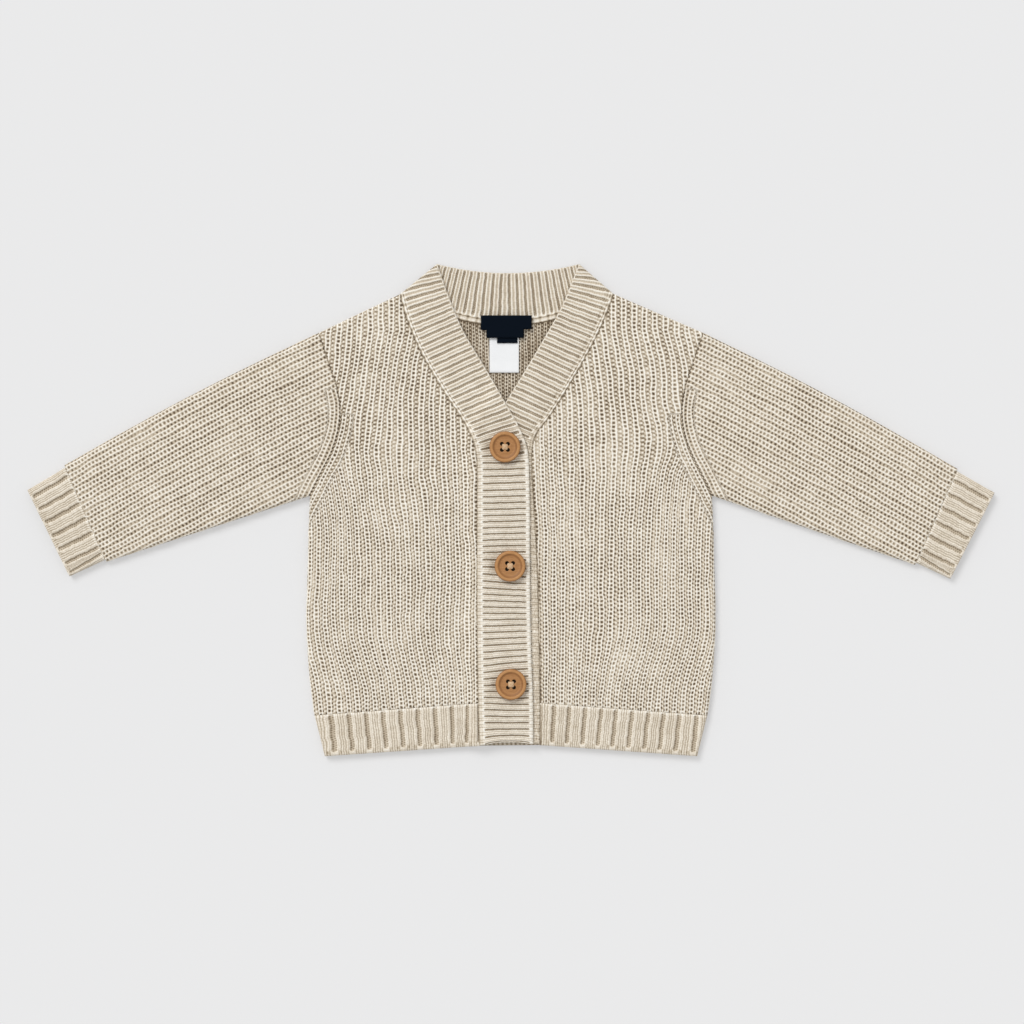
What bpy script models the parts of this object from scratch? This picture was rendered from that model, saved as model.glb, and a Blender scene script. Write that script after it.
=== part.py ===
"""A baby's V-neck cardigan in chunky rib knit, buttoned up and laid flat on its back.

+X runs along the wearer's left sleeve, +Y from hem to neck, +Z up from the surface that it lies on.
Sizes are in millimetres, and each mesh is scaled to metres where it is made.
"""

from collections import namedtuple
import math

import bmesh
import bpy

MM = 0.001

# Cloth
WALL = 2.8  # one layer of the knit
SEAM = 0.3  # gap between two pieces, beside or above each other
RIM = 0.8  # rounding of a cut edge
LAYER = WALL + SEAM  # rise from one layer to the next
FLAT_HEIGHT = LAYER + WALL  # two layers, back and front
TAPE = 1.0  # a folded woven or satin label

# Body
CHEST = 131.0  # half the width, below the underarm
HEM_END = -158.97  # lowest corner of the hem
SHOULDER_SLOPE = 0.45  # fall of the shoulder line for each mm outwards
SHOULDER_TOP = 170.2  # where the two shoulder lines would meet
AIR = 1.0  # rise of the front in the middle, where it doesn't lie close on the back
AIR_SIDE = 45.0  # distance over which it rises from the side seam
AIR_END = 38.0  # distance over which it rises from the hem and the shoulder

# Lap of the buttonhole band over the button band
LAP_STARTS = 20.0  # the upper front starts to rise this far before the lower band's free edge
LAP_ENDS = 9.0  # and is at its full height here

# Sleeves and cuffs
PUFF = 1.2  # rise of the sleeve's upper layer
CUFF_TUCK = 1.5  # the rib draws the cuff in by this much on each side
CUFF_SINK = 0.4  # and lowers it by this much at its open end

# Buttons
BUTTON_RADIUS = 10.0
BUTTON_HEIGHT = 3.2
BUTTON_DISH = 7.3  # radius of the dished middle
BUTTON_DISH_DEPTH = 0.6
BUTTON_FOOT = 7.6  # radius of the flat underside
BUTTON_FOOT_RISE = 0.5  # where the underside turns up to the rim
BEAD_POINTS = 7  # points over the rounded rim
HOLE_RADIUS = 0.9
HOLE_PITCH = 3.5
THREAD_RADIUS = 0.42
BUTTON_TURNS = 28

Edge = namedtuple("Edge", "x y")
Station = namedtuple("Station", "seam_x seam_y edge_x edge_y")
Finish = namedtuple("Finish", "name colour roughness")
Button = namedtuple("Button", "name x y")
Label = namedtuple("Label", "name layer finish outline")

# The half outline of a body panel, one row for each course line that the fronts share with the bands.
SIDE = [Edge(*row) for row in (
    # x      y
    (124.0, 114.4),  # shoulder point
    (117.7, 95.5),
    (112.6, 80.0),
    (110.0, 64.5),
    (111.6, 50.0),
    (116.2, 36.5),
    (122.7, 23.5),
    (129.8, 9.2),  # underarm
    (131.2, -32.0),
    (131.6, -86.0),
    (126.8, -132.6),  # top of the hem rib
    (120.2, HEM_END),
)]
ARMHOLE_ROWS = 8
HEM_ROW = 10
HEM_DROP = 2.4  # the hem ribs end this much lower than the bands that they meet

# The bands: the seam to the front, and the free edge, from the neck point down to the hem.
BUTTONHOLE_BAND = [Station(*row) for row in (
    # seam_x  seam_y  edge_x  edge_y
    (-71.6, 139.3, -47.7, 158.9),  # neck point
    (-67.7, 125.1, -39.5, 136.1),
    (-58.1, 101.9, -31.0, 116.1),
    (-43.2, 76.1, -16.1, 90.9),
    (-29.7, 55.5, -3.9, 69.7),  # the fronts cross
    (-23.9, 43.9, 5.2, 53.5),
    (-20.9, 33.5, 10.3, 39.3),
    (-20.3, 12.9, 11.6, 14.2),
    (-20.3, -32.3, 11.6, -32.3),
    (-19.4, -83.9, 12.2, -83.9),
    (-17.6, -124.6, 13.2, -125.6),
    (-16.9, -149.8, 13.4, -149.4),
)]
BUTTON_BAND = [Station(*row) for row in (
    # seam_x  seam_y  edge_x  edge_y
    (66.4, 139.3, 43.9, 158.9),  # neck point
    (58.7, 119.4, 32.8, 131.5),
    (49.5, 101.0, 23.5, 114.6),
    (35.0, 76.0, 8.8, 89.5),
    (24.5, 59.5, -2.6, 71.0),  # the fronts cross
    (16.4, 49.0, -10.0, 57.0),
    (13.5, 37.0, -14.8, 42.0),
    (14.2, 12.9, -14.8, 13.5),
    (16.8, -32.3, -12.9, -32.3),
    (18.1, -83.9, -11.6, -83.9),
    (18.7, -124.6, -11.0, -124.9),
    (18.7, -149.4, -11.0, -148.6),
)]

# Back neck: depth of the two curves below the neck and shoulder points, at the middle.
NECK_SEAM_DIP = 20.6
NECK_EDGE_DIP = 5.8
NECK_COLUMNS = 10
SHOULDER_COLUMNS = 3
BACK_RISE = (1.0, 0.74, 0.5, 0.3, 0.14, 0.04)  # how far each course line of the back follows its top edge

# Sleeve ends by the wearer's side, from the fold at the top to the fold below.
# The right arm lies a little higher than the left.
CUFF_JOINT = {
    "left": (Edge(288.3, 26.6), Edge(260.8, -35.4)),
    "right": (Edge(288.3, 28.9), Edge(261.2, -33.4)),
}
CUFF_END = {
    "left": (Edge(312.2, 11.2), Edge(283.6, -44.4)),
    "right": (Edge(312.2, 12.9), Edge(285.0, -42.8)),
}
SLEEVE_BOW = 2.6  # rise of the top fold in mid-sleeve, which fades out towards the fold below
SLEEVE_STATIONS = (0.0, 0.08, 0.24, 0.42, 0.6, 0.78, 0.94, 1.0)
CUFF_STATIONS = (0.0, 0.5, 1.0)
FOLD_TURNS = 6  # faces round a fold
ACROSS = (0.1, 0.24, 0.38, 0.53, 0.68, 0.83, 0.93)  # stations across a sleeve between its folds

# Columns across the fronts, from the band to the side seam, and across a band.
FRONT_COLUMNS = (0.0, 0.055, 0.12, 0.25, 0.45, 0.7, 0.88, 1.0)
BAND_COLUMNS = (0.0, 0.25, 0.5, 0.75, 1.0)
HEM_COLUMNS = 14

BUTTONS = [Button(*row) for row in (
    # name            x      y
    ("button_top", -3.9, 40.6),
    ("button_middle", -0.6, -36.1),
    ("button_bottom", 0.0, -112.2),
)]

KNIT = Finish("oatmeal_knit", (0.66, 0.58, 0.44, 1.0), 0.9)
RIB = Finish("oatmeal_rib", (0.70, 0.62, 0.48, 1.0), 0.9)
WOOD = Finish("turned_wood", (0.50, 0.22, 0.08, 1.0), 0.5)
THREAD = Finish("cream_thread", (0.80, 0.72, 0.56, 1.0), 0.8)
NAVY = Finish("navy_tape", (0.01, 0.015, 0.03, 1.0), 0.7)
SATIN = Finish("white_satin", (0.85, 0.86, 0.88, 1.0), 0.5)

LABELS = [Label(*row) for row in (
    # name, layer above the back, finish, corners of the outline
    ("care_label", 0, SATIN, ((-13.9, 88.6), (5.2, 88.6), (5.2, 122.0), (-13.9, 122.0))),
    ("size_tab", 1, NAVY, ((-9.0, 107.7), (4.2, 107.7), (4.2, 122.0), (-9.0, 122.0))),
    ("neck_label", 2, NAVY, (
        (-15.8, 111.0), (8.3, 111.0), (8.3, 116.7), (13.4, 116.7),
        (13.4, 125.6), (-19.5, 125.6), (-19.5, 116.1), (-15.8, 116.1),
    )),
)]


def mix(low, high, share):
    return low + (high - low) * share


def smoothstep(low, high, value):
    share = min(max((value - low) / (high - low), 0.0), 1.0)
    return share * share * (3.0 - 2.0 * share)


def along(points, x):
    """The height y at x on a line of points, in order of x, run on past its ends."""
    for left, right in zip(points, points[1:]):
        if x <= right[0] or right is points[-1]:
            return mix(left[1], right[1], (x - left[0]) / (right[0] - left[0]))


# ---------------------------------------------------------------- heights of the layers


def back_top(x, y):
    return WALL


def air(x, y):
    """How far the front stands off the back."""
    from_side = smoothstep(0.0, AIR_SIDE, CHEST - abs(x))
    from_hem = smoothstep(0.0, AIR_END, y - HEM_END)
    from_shoulder = smoothstep(0.0, AIR_END, SHOULDER_TOP - SHOULDER_SLOPE * abs(x) - y)
    return AIR * from_side * from_hem * from_shoulder


def left_top(x, y):
    return FLAT_HEIGHT + air(x, y)


def right_top(x, y):
    """The wearer's right front climbs onto the button band."""
    free_edge = [(station.edge_y, station.edge_x) for station in reversed(BUTTON_BAND)]
    before_edge = along(free_edge, y) - x
    return left_top(x, y) + LAYER * smoothstep(LAP_STARTS, LAP_ENDS, before_edge)


# ---------------------------------------------------------------- the scene


def clear_scene():
    for item in list(bpy.data.objects):
        bpy.data.objects.remove(item, do_unlink=True)


def new_collection(name):
    collection = bpy.data.collections.new(name)
    bpy.context.scene.collection.children.link(collection)
    return collection


def material(finish):
    """One Principled material for each finish."""
    found = bpy.data.materials.get(finish.name)
    if found:
        return found
    made = bpy.data.materials.new(finish.name)
    made.use_nodes = True
    surface = made.node_tree.nodes["Principled BSDF"]
    surface.inputs["Base Color"].default_value = finish.colour
    surface.inputs["Roughness"].default_value = finish.roughness
    surface.inputs["Metallic"].default_value = 0.0
    return made


def add_piece(name, data, finish):
    """Puts a mesh or a curve in the cardigan under its name."""
    piece = bpy.data.objects.new(name, data)
    data.materials.append(material(finish))
    cardigan.objects.link(piece)
    piece.parent = surface_rest
    return piece


def surface_from_rows(rows, closed=False):
    """A quad surface through rows of points in mm. Closed rows are rings."""
    shape = bmesh.new()
    lines = [[shape.verts.new([c * MM for c in point]) for point in row] for row in rows]
    for upper, lower in zip(lines, lines[1:]):
        columns = range(len(upper)) if closed else range(len(upper) - 1)
        for i in columns:
            j = (i + 1) % len(upper)
            shape.faces.new((upper[i], lower[i], lower[j], upper[j]))
    return shape


def finished_mesh(name, shape):
    """The mesh of a closed shape, its faces pointing out and its round parts smooth."""
    bmesh.ops.recalc_face_normals(shape, faces=shape.faces)
    mesh = bpy.data.meshes.new(name)
    shape.to_mesh(mesh)
    shape.free()
    mesh.shade_smooth()
    mesh.set_sharp_from_angle(angle=math.radians(40.0))
    return mesh


def add_panel(name, rows, top, finish):
    """A layer of cloth through rows of plan points that run from -X to +X, from the neck to the hem."""
    shape = surface_from_rows([[(x, y, top(x, y)) for x, y in row] for row in rows])
    extruded = bmesh.ops.extrude_face_region(shape, geom=shape.faces[:], use_keep_orig=True)
    below = [item for item in extruded["geom"] if isinstance(item, bmesh.types.BMVert)]
    bmesh.ops.translate(shape, verts=below, vec=(0.0, 0.0, -WALL * MM))
    piece = add_piece(name, finished_mesh(name, shape), finish)
    bevel = piece.modifiers.new("rim", "BEVEL")
    bevel.width = RIM * MM
    bevel.segments = 2
    bevel.limit_method = "ANGLE"
    bevel.angle_limit = math.radians(60.0)


def across(start, end, shares):
    return [(mix(start[0], end[0], share), mix(start[1], end[1], share)) for share in shares]


# ---------------------------------------------------------------- back


def neck_columns():
    """The back's top edge: the shoulder line, the neck seam and the other shoulder line."""
    right, left = BUTTONHOLE_BAND[0], BUTTON_BAND[0]
    shares = [i / NECK_COLUMNS for i in range(NECK_COLUMNS + 1)]
    middle = [neck_point(right.seam_x, left.seam_x, right.seam_y, NECK_SEAM_DIP, share) for share in shares]
    steps = [i / SHOULDER_COLUMNS for i in range(SHOULDER_COLUMNS)]
    shoulder = SIDE[0]
    rising = across((-shoulder.x, shoulder.y), middle[0], steps)
    falling = across((shoulder.x, shoulder.y), middle[-1], steps)
    return rising + middle + falling[::-1]


def neck_point(start_x, end_x, end_y, dip, share):
    """A point on a curve that hangs between two points at one height."""
    bow = 1.0 - (2.0 * share - 1.0) ** 2
    return mix(start_x, end_x, share), end_y - dip * bow


def hem_drop(row):
    """How far a course line of the fronts lies below the end of the bands."""
    return HEM_DROP if row > HEM_ROW else 0.0


def hem_line(row):
    """The fronts' course line at the hem, as points from side to side that the back shares."""
    side, right, left = SIDE[row], BUTTONHOLE_BAND[row], BUTTON_BAND[row]
    drop = hem_drop(row)
    inner = [(band.seam_x, band.seam_y - drop) for band in (right, left)]
    return [(-side.x, side.y), *inner, (side.x, side.y)]


def back_rows():
    """Course lines from the top edge, which the armhole's rows follow less and less, to the hem."""
    top = neck_columns()
    shoulder = SIDE[0]
    rows = []
    for number, side in enumerate(SIDE[:HEM_ROW]):
        follow = BACK_RISE[number] if number < len(BACK_RISE) else 0.0
        wide = side.x / shoulder.x
        rows.append([(x * wide, side.y + follow * (y - shoulder.y)) for x, y in top])
    wide = SIDE[HEM_ROW].x / shoulder.x
    rows.append([(x * wide, along(hem_line(HEM_ROW), x * wide) + SEAM) for x, y in top])
    return rows


def add_back():
    rows = back_rows()
    rows[0] = [(x, y - SEAM) for x, y in rows[0]]
    add_panel("back_panel", rows, back_top, KNIT)

    shares = [i / NECK_COLUMNS for i in range(NECK_COLUMNS + 1)]
    right, left = BUTTONHOLE_BAND[0], BUTTON_BAND[0]
    seam = [neck_point(right.seam_x, left.seam_x, right.seam_y, NECK_SEAM_DIP, share) for share in shares]
    edge = [neck_point(right.edge_x, left.edge_x, right.edge_y, NECK_EDGE_DIP, share) for share in shares]
    steps = (0.0, 0.33, 0.67, 1.0)
    rows = [[across(high, low, steps)[i] for high, low in zip(edge, seam)] for i in range(len(steps))]
    add_panel("back_neckband", rows, back_top, RIB)

    ends = SIDE[HEM_ROW].x, SIDE[HEM_ROW + 1].x
    rows = []
    for row, end in zip((HEM_ROW, HEM_ROW + 1), ends):
        columns = [mix(-end, end, i / HEM_COLUMNS) for i in range(HEM_COLUMNS + 1)]
        rows.append([(x, along(hem_line(row), x)) for x in columns])
    middle = [((a[0] + b[0]) / 2, (a[1] + b[1]) / 2) for a, b in zip(*rows)]
    add_panel("back_hem_rib", [rows[0], middle, rows[1]], back_top, RIB)


# ---------------------------------------------------------------- fronts and bands


def front_rows(band, side):
    """Course lines of a front, from -X to +X. side is +1 for the wearer's left."""
    rows = []
    for number, (station, edge) in enumerate(zip(band, SIDE)):
        inner = (station.seam_x + side * SEAM, station.seam_y - hem_drop(number))
        row = across(inner, (side * edge.x, edge.y), FRONT_COLUMNS)
        rows.append(row if side > 0 else row[::-1])
    return rows


def add_front(word, band, side, top):
    rows = front_rows(band, side)
    panel = rows[:HEM_ROW] + [[(x, y + SEAM) for x, y in rows[HEM_ROW]]]
    add_panel(word + "_front_panel", panel, top, KNIT)
    middle = [((a[0] + b[0]) / 2, (a[1] + b[1]) / 2) for a, b in zip(rows[HEM_ROW], rows[HEM_ROW + 1])]
    add_panel(word + "_front_hem_rib", [rows[HEM_ROW], middle, rows[HEM_ROW + 1]], top, RIB)


def add_band(name, band, top):
    rows = []
    for station in band:
        row = across((station.seam_x, station.seam_y), (station.edge_x, station.edge_y), BAND_COLUMNS)
        rows.append(row if station.seam_x < station.edge_x else row[::-1])
    add_panel(name, rows, top, RIB)


# ---------------------------------------------------------------- sleeves and cuffs


def on_armhole(share):
    """A point on the armhole, by its share of the height from the shoulder to the underarm."""
    rows = SIDE[:ARMHOLE_ROWS]
    y = mix(rows[0].y, rows[-1].y, share)
    line = [(row.y, row.x) for row in reversed(rows)]
    return along(line, y) + SEAM, y


def between(ends, share, tuck):
    """A point on the line across a sleeve's end, with the ends tucked in."""
    high, low = ends
    width = math.dist(high, low)
    inside = mix(tuck / width, 1.0 - tuck / width, share)
    return mix(high.x, low.x, inside), mix(high.y, low.y, inside)


def ring(plan, width, side, height, puff, inset):
    """A flat tube's section in mm: a fold, the upper layer, the other fold and the lower layer."""
    middle = height / 2.0
    radius = middle - inset
    turns = [math.pi * (i / FOLD_TURNS - 0.5) for i in range(FOLD_TURNS + 1)]
    points = []
    for turn in turns:
        share = (middle - radius * math.cos(turn)) / width
        points.append((*plan(share), middle + radius * math.sin(turn)))
    for share in ACROSS:
        points.append((*plan(share), height - inset + puff * math.sin(math.pi * share)))
    for turn in reversed(turns):
        share = 1.0 - (middle - radius * math.cos(turn)) / width
        points.append((*plan(share), middle + radius * math.sin(turn)))
    for share in reversed(ACROSS):
        points.append((*plan(share), inset))
    points = [(side * x, y, z) for x, y, z in points]
    return points if side > 0 else points[::-1]


def add_tube(name, sections, finish):
    """Open cloth tube. Its inner face has the same stations as the outer, so that the ends are true."""
    outer = [ring(*section, 0.0) for section in sections]
    inner = [ring(*section, WALL) for section in sections]
    shape = surface_from_rows(outer + inner[::-1] + outer[:1], closed=True)
    bmesh.ops.remove_doubles(shape, verts=shape.verts, dist=0.000001)
    add_piece(name, finished_mesh(name, shape), finish)


def add_sleeve(word, side):
    """A flat tube from the armhole's curve to the straight line of the cuff."""
    joint = CUFF_JOINT[word]
    start, end = math.dist(SIDE[0], SIDE[ARMHOLE_ROWS - 1]), math.dist(*joint)
    sections = []
    for station in SLEEVE_STATIONS:
        def plan(share, station=station):
            a, b = on_armhole(share), between(joint, share, 0.0)
            bow = SLEEVE_BOW * math.sin(math.pi * station) * (1.0 - share)
            return mix(a[0], b[0], station), mix(a[1], b[1], station) + bow
        puff = PUFF * smoothstep(0.0, 0.3, station) * mix(1.0, 0.4, smoothstep(0.7, 1.0, station))
        sections.append((plan, mix(start, end, station), side, FLAT_HEIGHT, puff))
    add_tube(word + "_sleeve", sections, KNIT)


def add_cuff(word, side):
    """A flat tube that the rib draws in, just past the sleeve's end."""
    joint, end = CUFF_JOINT[word], CUFF_END[word]
    length = math.dist(joint[0], end[0])
    sections = []
    for station in CUFF_STATIONS:
        reach = mix(SEAM / length, 1.0, station)

        def plan(share, reach=reach):
            a, b = between(joint, share, CUFF_TUCK), between(end, share, 0.0)
            return mix(a[0], b[0], reach), mix(a[1], b[1], reach)
        sections.append((plan, math.dist(*end), side, FLAT_HEIGHT, CUFF_SINK * (1.0 - station)))
    add_tube(word + "_cuff", sections, RIB)


# ---------------------------------------------------------------- buttons


def band_top_under(button):
    """The highest point of the band under a button."""
    turns = [math.tau * i / 8 for i in range(8)]
    rim = [(button.x + BUTTON_RADIUS * math.cos(t), button.y + BUTTON_RADIUS * math.sin(t)) for t in turns]
    return max(right_top(x, y) for x, y in rim + [(button.x, button.y)])


def button_profile():
    """Half the button's section, from the middle of its dish over the round rim to the middle below."""
    dish = BUTTON_HEIGHT - BUTTON_DISH_DEPTH
    bead_middle = (BUTTON_DISH + BUTTON_RADIUS) / 2.0
    bead_radius = (BUTTON_RADIUS - BUTTON_DISH) / 2.0
    turns = [math.pi * (1.0 - i / (BEAD_POINTS - 1)) for i in range(BEAD_POINTS)]
    bead = [
        (bead_middle + bead_radius * math.cos(turn), dish + BUTTON_DISH_DEPTH * math.sin(turn))
        for turn in turns
    ]
    foot_turn = ((BUTTON_RADIUS + BUTTON_FOOT) / 2.0, BUTTON_FOOT_RISE)
    return [(0.0, dish)] + bead + [foot_turn, (BUTTON_FOOT, 0.0), (0.0, 0.0)]


def turned_mesh(name, profile):
    """A closed solid from a profile turned round Z."""
    shape = bmesh.new()
    points = [shape.verts.new((radius * MM, 0.0, height * MM)) for radius, height in profile]
    for pair in zip(points, points[1:]):
        shape.edges.new(pair)
    mesh = bpy.data.meshes.new(name)
    shape.to_mesh(mesh)
    shape.free()
    return mesh


def hole_corners():
    half = HOLE_PITCH / 2.0
    return ((half, half), (-half, half), (-half, -half), (half, -half))


def add_hole_cutter(name, x, y, z):
    """Four pins as long as the button is thick, with some to spare."""
    shape = bmesh.new()
    for hole_x, hole_y in hole_corners():
        made = bmesh.ops.create_cone(
            shape, cap_ends=True, segments=10, radius1=HOLE_RADIUS * MM,
            radius2=HOLE_RADIUS * MM, depth=3.0 * BUTTON_HEIGHT * MM)
        bmesh.ops.translate(shape, verts=made["verts"], vec=(hole_x * MM, hole_y * MM, 0.0))
    mesh = bpy.data.meshes.new(name)
    shape.to_mesh(mesh)
    shape.free()
    cutter = bpy.data.objects.new(name, mesh)
    cutter.location = (x * MM, y * MM, z * MM)
    cutter.hide_render = True
    cutter.display_type = "WIRE"
    cutters.objects.link(cutter)
    return cutter


def add_button(button):
    rest = band_top_under(button) + SEAM
    piece = add_piece(button.name, turned_mesh(button.name, button_profile()), WOOD)
    piece.location = (button.x * MM, button.y * MM, rest * MM)
    turn = piece.modifiers.new("turn", "SCREW")
    turn.steps = BUTTON_TURNS
    turn.render_steps = BUTTON_TURNS
    turn.use_merge_vertices = True
    turn.merge_threshold = 0.00001
    turn.use_smooth_shade = True
    holes = piece.modifiers.new("holes", "BOOLEAN")
    holes.operation = "DIFFERENCE"
    holes.object = add_hole_cutter(button.name + "_pins", button.x, button.y, rest)
    add_thread(button.name + "_thread", button, rest)


def stitch_mesh(name, start, end):
    """One stitch: up through a hole, across the dish and down through the hole opposite."""
    face = BUTTON_HEIGHT - BUTTON_DISH_DEPTH + SEAM + THREAD_RADIUS
    bend = 2.0 * THREAD_RADIUS
    corner = 0.3 * bend
    span = math.dist(start, end)
    rising = [(0.0, SEAM / 2.0), (0.0, face - bend), (corner, face - corner), (bend, face)]
    path = rising + [(span - run, height) for run, height in reversed(rising)]
    curve = bpy.data.curves.new(name, "CURVE")
    curve.dimensions = "3D"
    curve.bevel_depth = THREAD_RADIUS * MM
    curve.bevel_resolution = 1
    curve.use_fill_caps = True
    spline = curve.splines.new("POLY")
    spline.points.add(len(path) - 1)
    for point, (run, height) in zip(spline.points, path):
        x, y = mix(start[0], end[0], run / span), mix(start[1], end[1], run / span)
        point.co = (x * MM, y * MM, height * MM, 1.0)
    tube = bpy.data.objects.new(name, curve)
    cutters.objects.link(tube)
    bpy.context.view_layer.update()
    depsgraph = bpy.context.evaluated_depsgraph_get()
    mesh = bpy.data.meshes.new_from_object(tube.evaluated_get(depsgraph))
    bpy.data.objects.remove(tube)
    shape = bmesh.new()
    shape.from_mesh(mesh)
    bmesh.ops.remove_doubles(shape, verts=shape.verts, dist=0.000001)
    return finished_mesh(name, shape)


def add_thread(name, button, rest):
    """Two crossed stitches, joined where they cross."""
    corners = hole_corners()
    place = (button.x * MM, button.y * MM, rest * MM)
    piece = add_piece(name, stitch_mesh(name, corners[0], corners[2]), THREAD)
    piece.location = place
    other = bpy.data.objects.new(name + "_across", stitch_mesh(name + "_across", corners[1], corners[3]))
    other.location = place
    other.hide_render = True
    other.display_type = "WIRE"
    cutters.objects.link(other)
    union = piece.modifiers.new("cross", "BOOLEAN")
    union.operation = "UNION"
    union.object = other


# ---------------------------------------------------------------- labels


def add_label(label):
    """A flat label, hanging from the neck seam over the back."""
    curve = bpy.data.curves.new(label.name, "CURVE")
    curve.dimensions = "2D"
    curve.fill_mode = "BOTH"
    curve.extrude = TAPE / 2.0 * MM
    spline = curve.splines.new("POLY")
    spline.points.add(len(label.outline) - 1)
    for point, (x, y) in zip(spline.points, label.outline):
        point.co = (x * MM, y * MM, 0.0, 1.0)
    spline.use_cyclic_u = True
    piece = add_piece(label.name, curve, label.finish)
    piece.location.z = (LAYER + label.layer * (TAPE + SEAM) + TAPE / 2.0) * MM


clear_scene()
cardigan = new_collection("baby_cardigan")
cutters = new_collection("cutters")
surface_rest = bpy.data.objects.new("surface_rest", None)
cardigan.objects.link(surface_rest)

add_back()
add_front("right", BUTTONHOLE_BAND, -1, right_top)
add_front("left", BUTTON_BAND, 1, left_top)
add_band("buttonhole_band", BUTTONHOLE_BAND, right_top)
add_band("button_band", BUTTON_BAND, left_top)
for wearer_side, sign in (("left", 1), ("right", -1)):
    add_sleeve(wearer_side, sign)
    add_cuff(wearer_side, sign)
for one_button in BUTTONS:
    add_button(one_button)
for one_label in LABELS:
    add_label(one_label)
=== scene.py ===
"""A baby's V-neck cardigan in chunky knit, laid flat: its stitches, seams, buttons and labels.

+X runs along the wearer's left sleeve, +Y from hem to neck, +Z up from the surface that it lies on.
Sizes are in millimetres, and each mesh is scaled to metres where it is made.
"""

from collections import namedtuple
import copy
import math

import bpy
import numpy as np
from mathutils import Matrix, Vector
from mathutils.geometry import delaunay_2d_cdt
from mathutils.kdtree import KDTree


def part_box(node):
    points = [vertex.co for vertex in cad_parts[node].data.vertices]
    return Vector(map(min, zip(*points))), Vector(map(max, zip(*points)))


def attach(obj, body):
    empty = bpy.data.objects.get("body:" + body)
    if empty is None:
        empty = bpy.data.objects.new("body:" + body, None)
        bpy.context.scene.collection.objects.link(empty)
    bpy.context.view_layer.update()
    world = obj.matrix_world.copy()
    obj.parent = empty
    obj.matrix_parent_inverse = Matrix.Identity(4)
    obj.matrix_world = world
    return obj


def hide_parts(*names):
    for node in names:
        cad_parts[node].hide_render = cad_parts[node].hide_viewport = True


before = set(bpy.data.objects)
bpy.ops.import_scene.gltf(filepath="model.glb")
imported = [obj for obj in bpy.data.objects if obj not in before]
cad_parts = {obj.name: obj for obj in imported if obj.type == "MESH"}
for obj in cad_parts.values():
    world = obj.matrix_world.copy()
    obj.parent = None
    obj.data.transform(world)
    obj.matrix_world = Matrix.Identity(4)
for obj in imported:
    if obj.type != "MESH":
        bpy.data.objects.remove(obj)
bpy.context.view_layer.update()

MM = 0.001

# Cloth, as the solids have it
WALL = 2.8  # one layer of knit
SEAM = 0.05  # between two pieces that are joined or lie on each other
LAYER = WALL + SEAM
FLAT_HEIGHT = LAYER + WALL
TAPE = 1.0  # a folded label
CHEST = 131.0  # half the width of the body
HEM_END = -158.97
SHOULDER_SLOPE = 0.45
SHOULDER_TOP = 170.2
AIR = 1.0  # how far the fronts stand off the back, and how far in from its ends they do so fully
AIR_SIDE = 45.0
AIR_END = 38.0
LAP_STARTS = 20.0  # how far before the button band's edge the upper front starts to climb, and is up
LAP_ENDS = 9.0
PUFF = 1.2  # how much fuller than flat a sleeve is
CUFF_TUCK = 1.5  # how much narrower a cuff starts, on each side, than its sleeve ends
CUFF_PUFF = 0.4

# Stitches
COURSE = {"right": 2.59, "left": 2.68, "back": 2.62, "sleeve": 2.62}  # height of one row of stitches
WALE = 5.9  # width of one row of holes and the plain wale beside it
SLEEVE_WALE = 5.4
RIB_COURSE = 1.6
PURL_COURSE = 1.5

# How finely the cloth is modelled
WALE_STEPS = 8
BACK_WALE_STEPS = 6  # the back's underside, which is one large net
COURSE_STEPS = 3
LOOP_STEP = 0.8  # between the points of an outline
COARSE_STEP = 6.0  # between the points of a side that another layer covers
RING_STEP = 0.7  # across a hem or cuff
HEM_STEPS = 22  # points to a rib
CUFF_STEPS = 20
FAR_OFF = 50.0  # the distance to a free edge, where there is none
APART = 8.0  # between the sides on a flat pattern
HIDDEN_PATCH = 4.0  # the size of the place there that hidden faces share
QUARTER = math.pi / 2.0
SPARE = QUARTER - 1.0  # cloth that a rolled edge takes up, for each mm of its radius

SIDE = np.array((
    # x      y
    (124.0, 114.4),  # shoulder point
    (117.7, 95.5),
    (112.6, 80.0),
    (110.0, 64.5),
    (111.6, 50.0),
    (116.2, 36.5),
    (122.7, 23.5),
    (129.8, 9.2),  # underarm
    (131.2, -32.0),
    (131.6, -86.0),
    (126.8, -132.6),  # top of the hem rib
    (120.2, HEM_END),
))
UNDERARM_ROW = 7
HEM_ROW = 10
HEM_DROP = 2.4  # the hem ribs end this much lower than the bands that they meet
KNIT_LOW = -165.0  # the nets of stitches reach past the body's outline at both ends
KNIT_HIGH = 150.0

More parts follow.
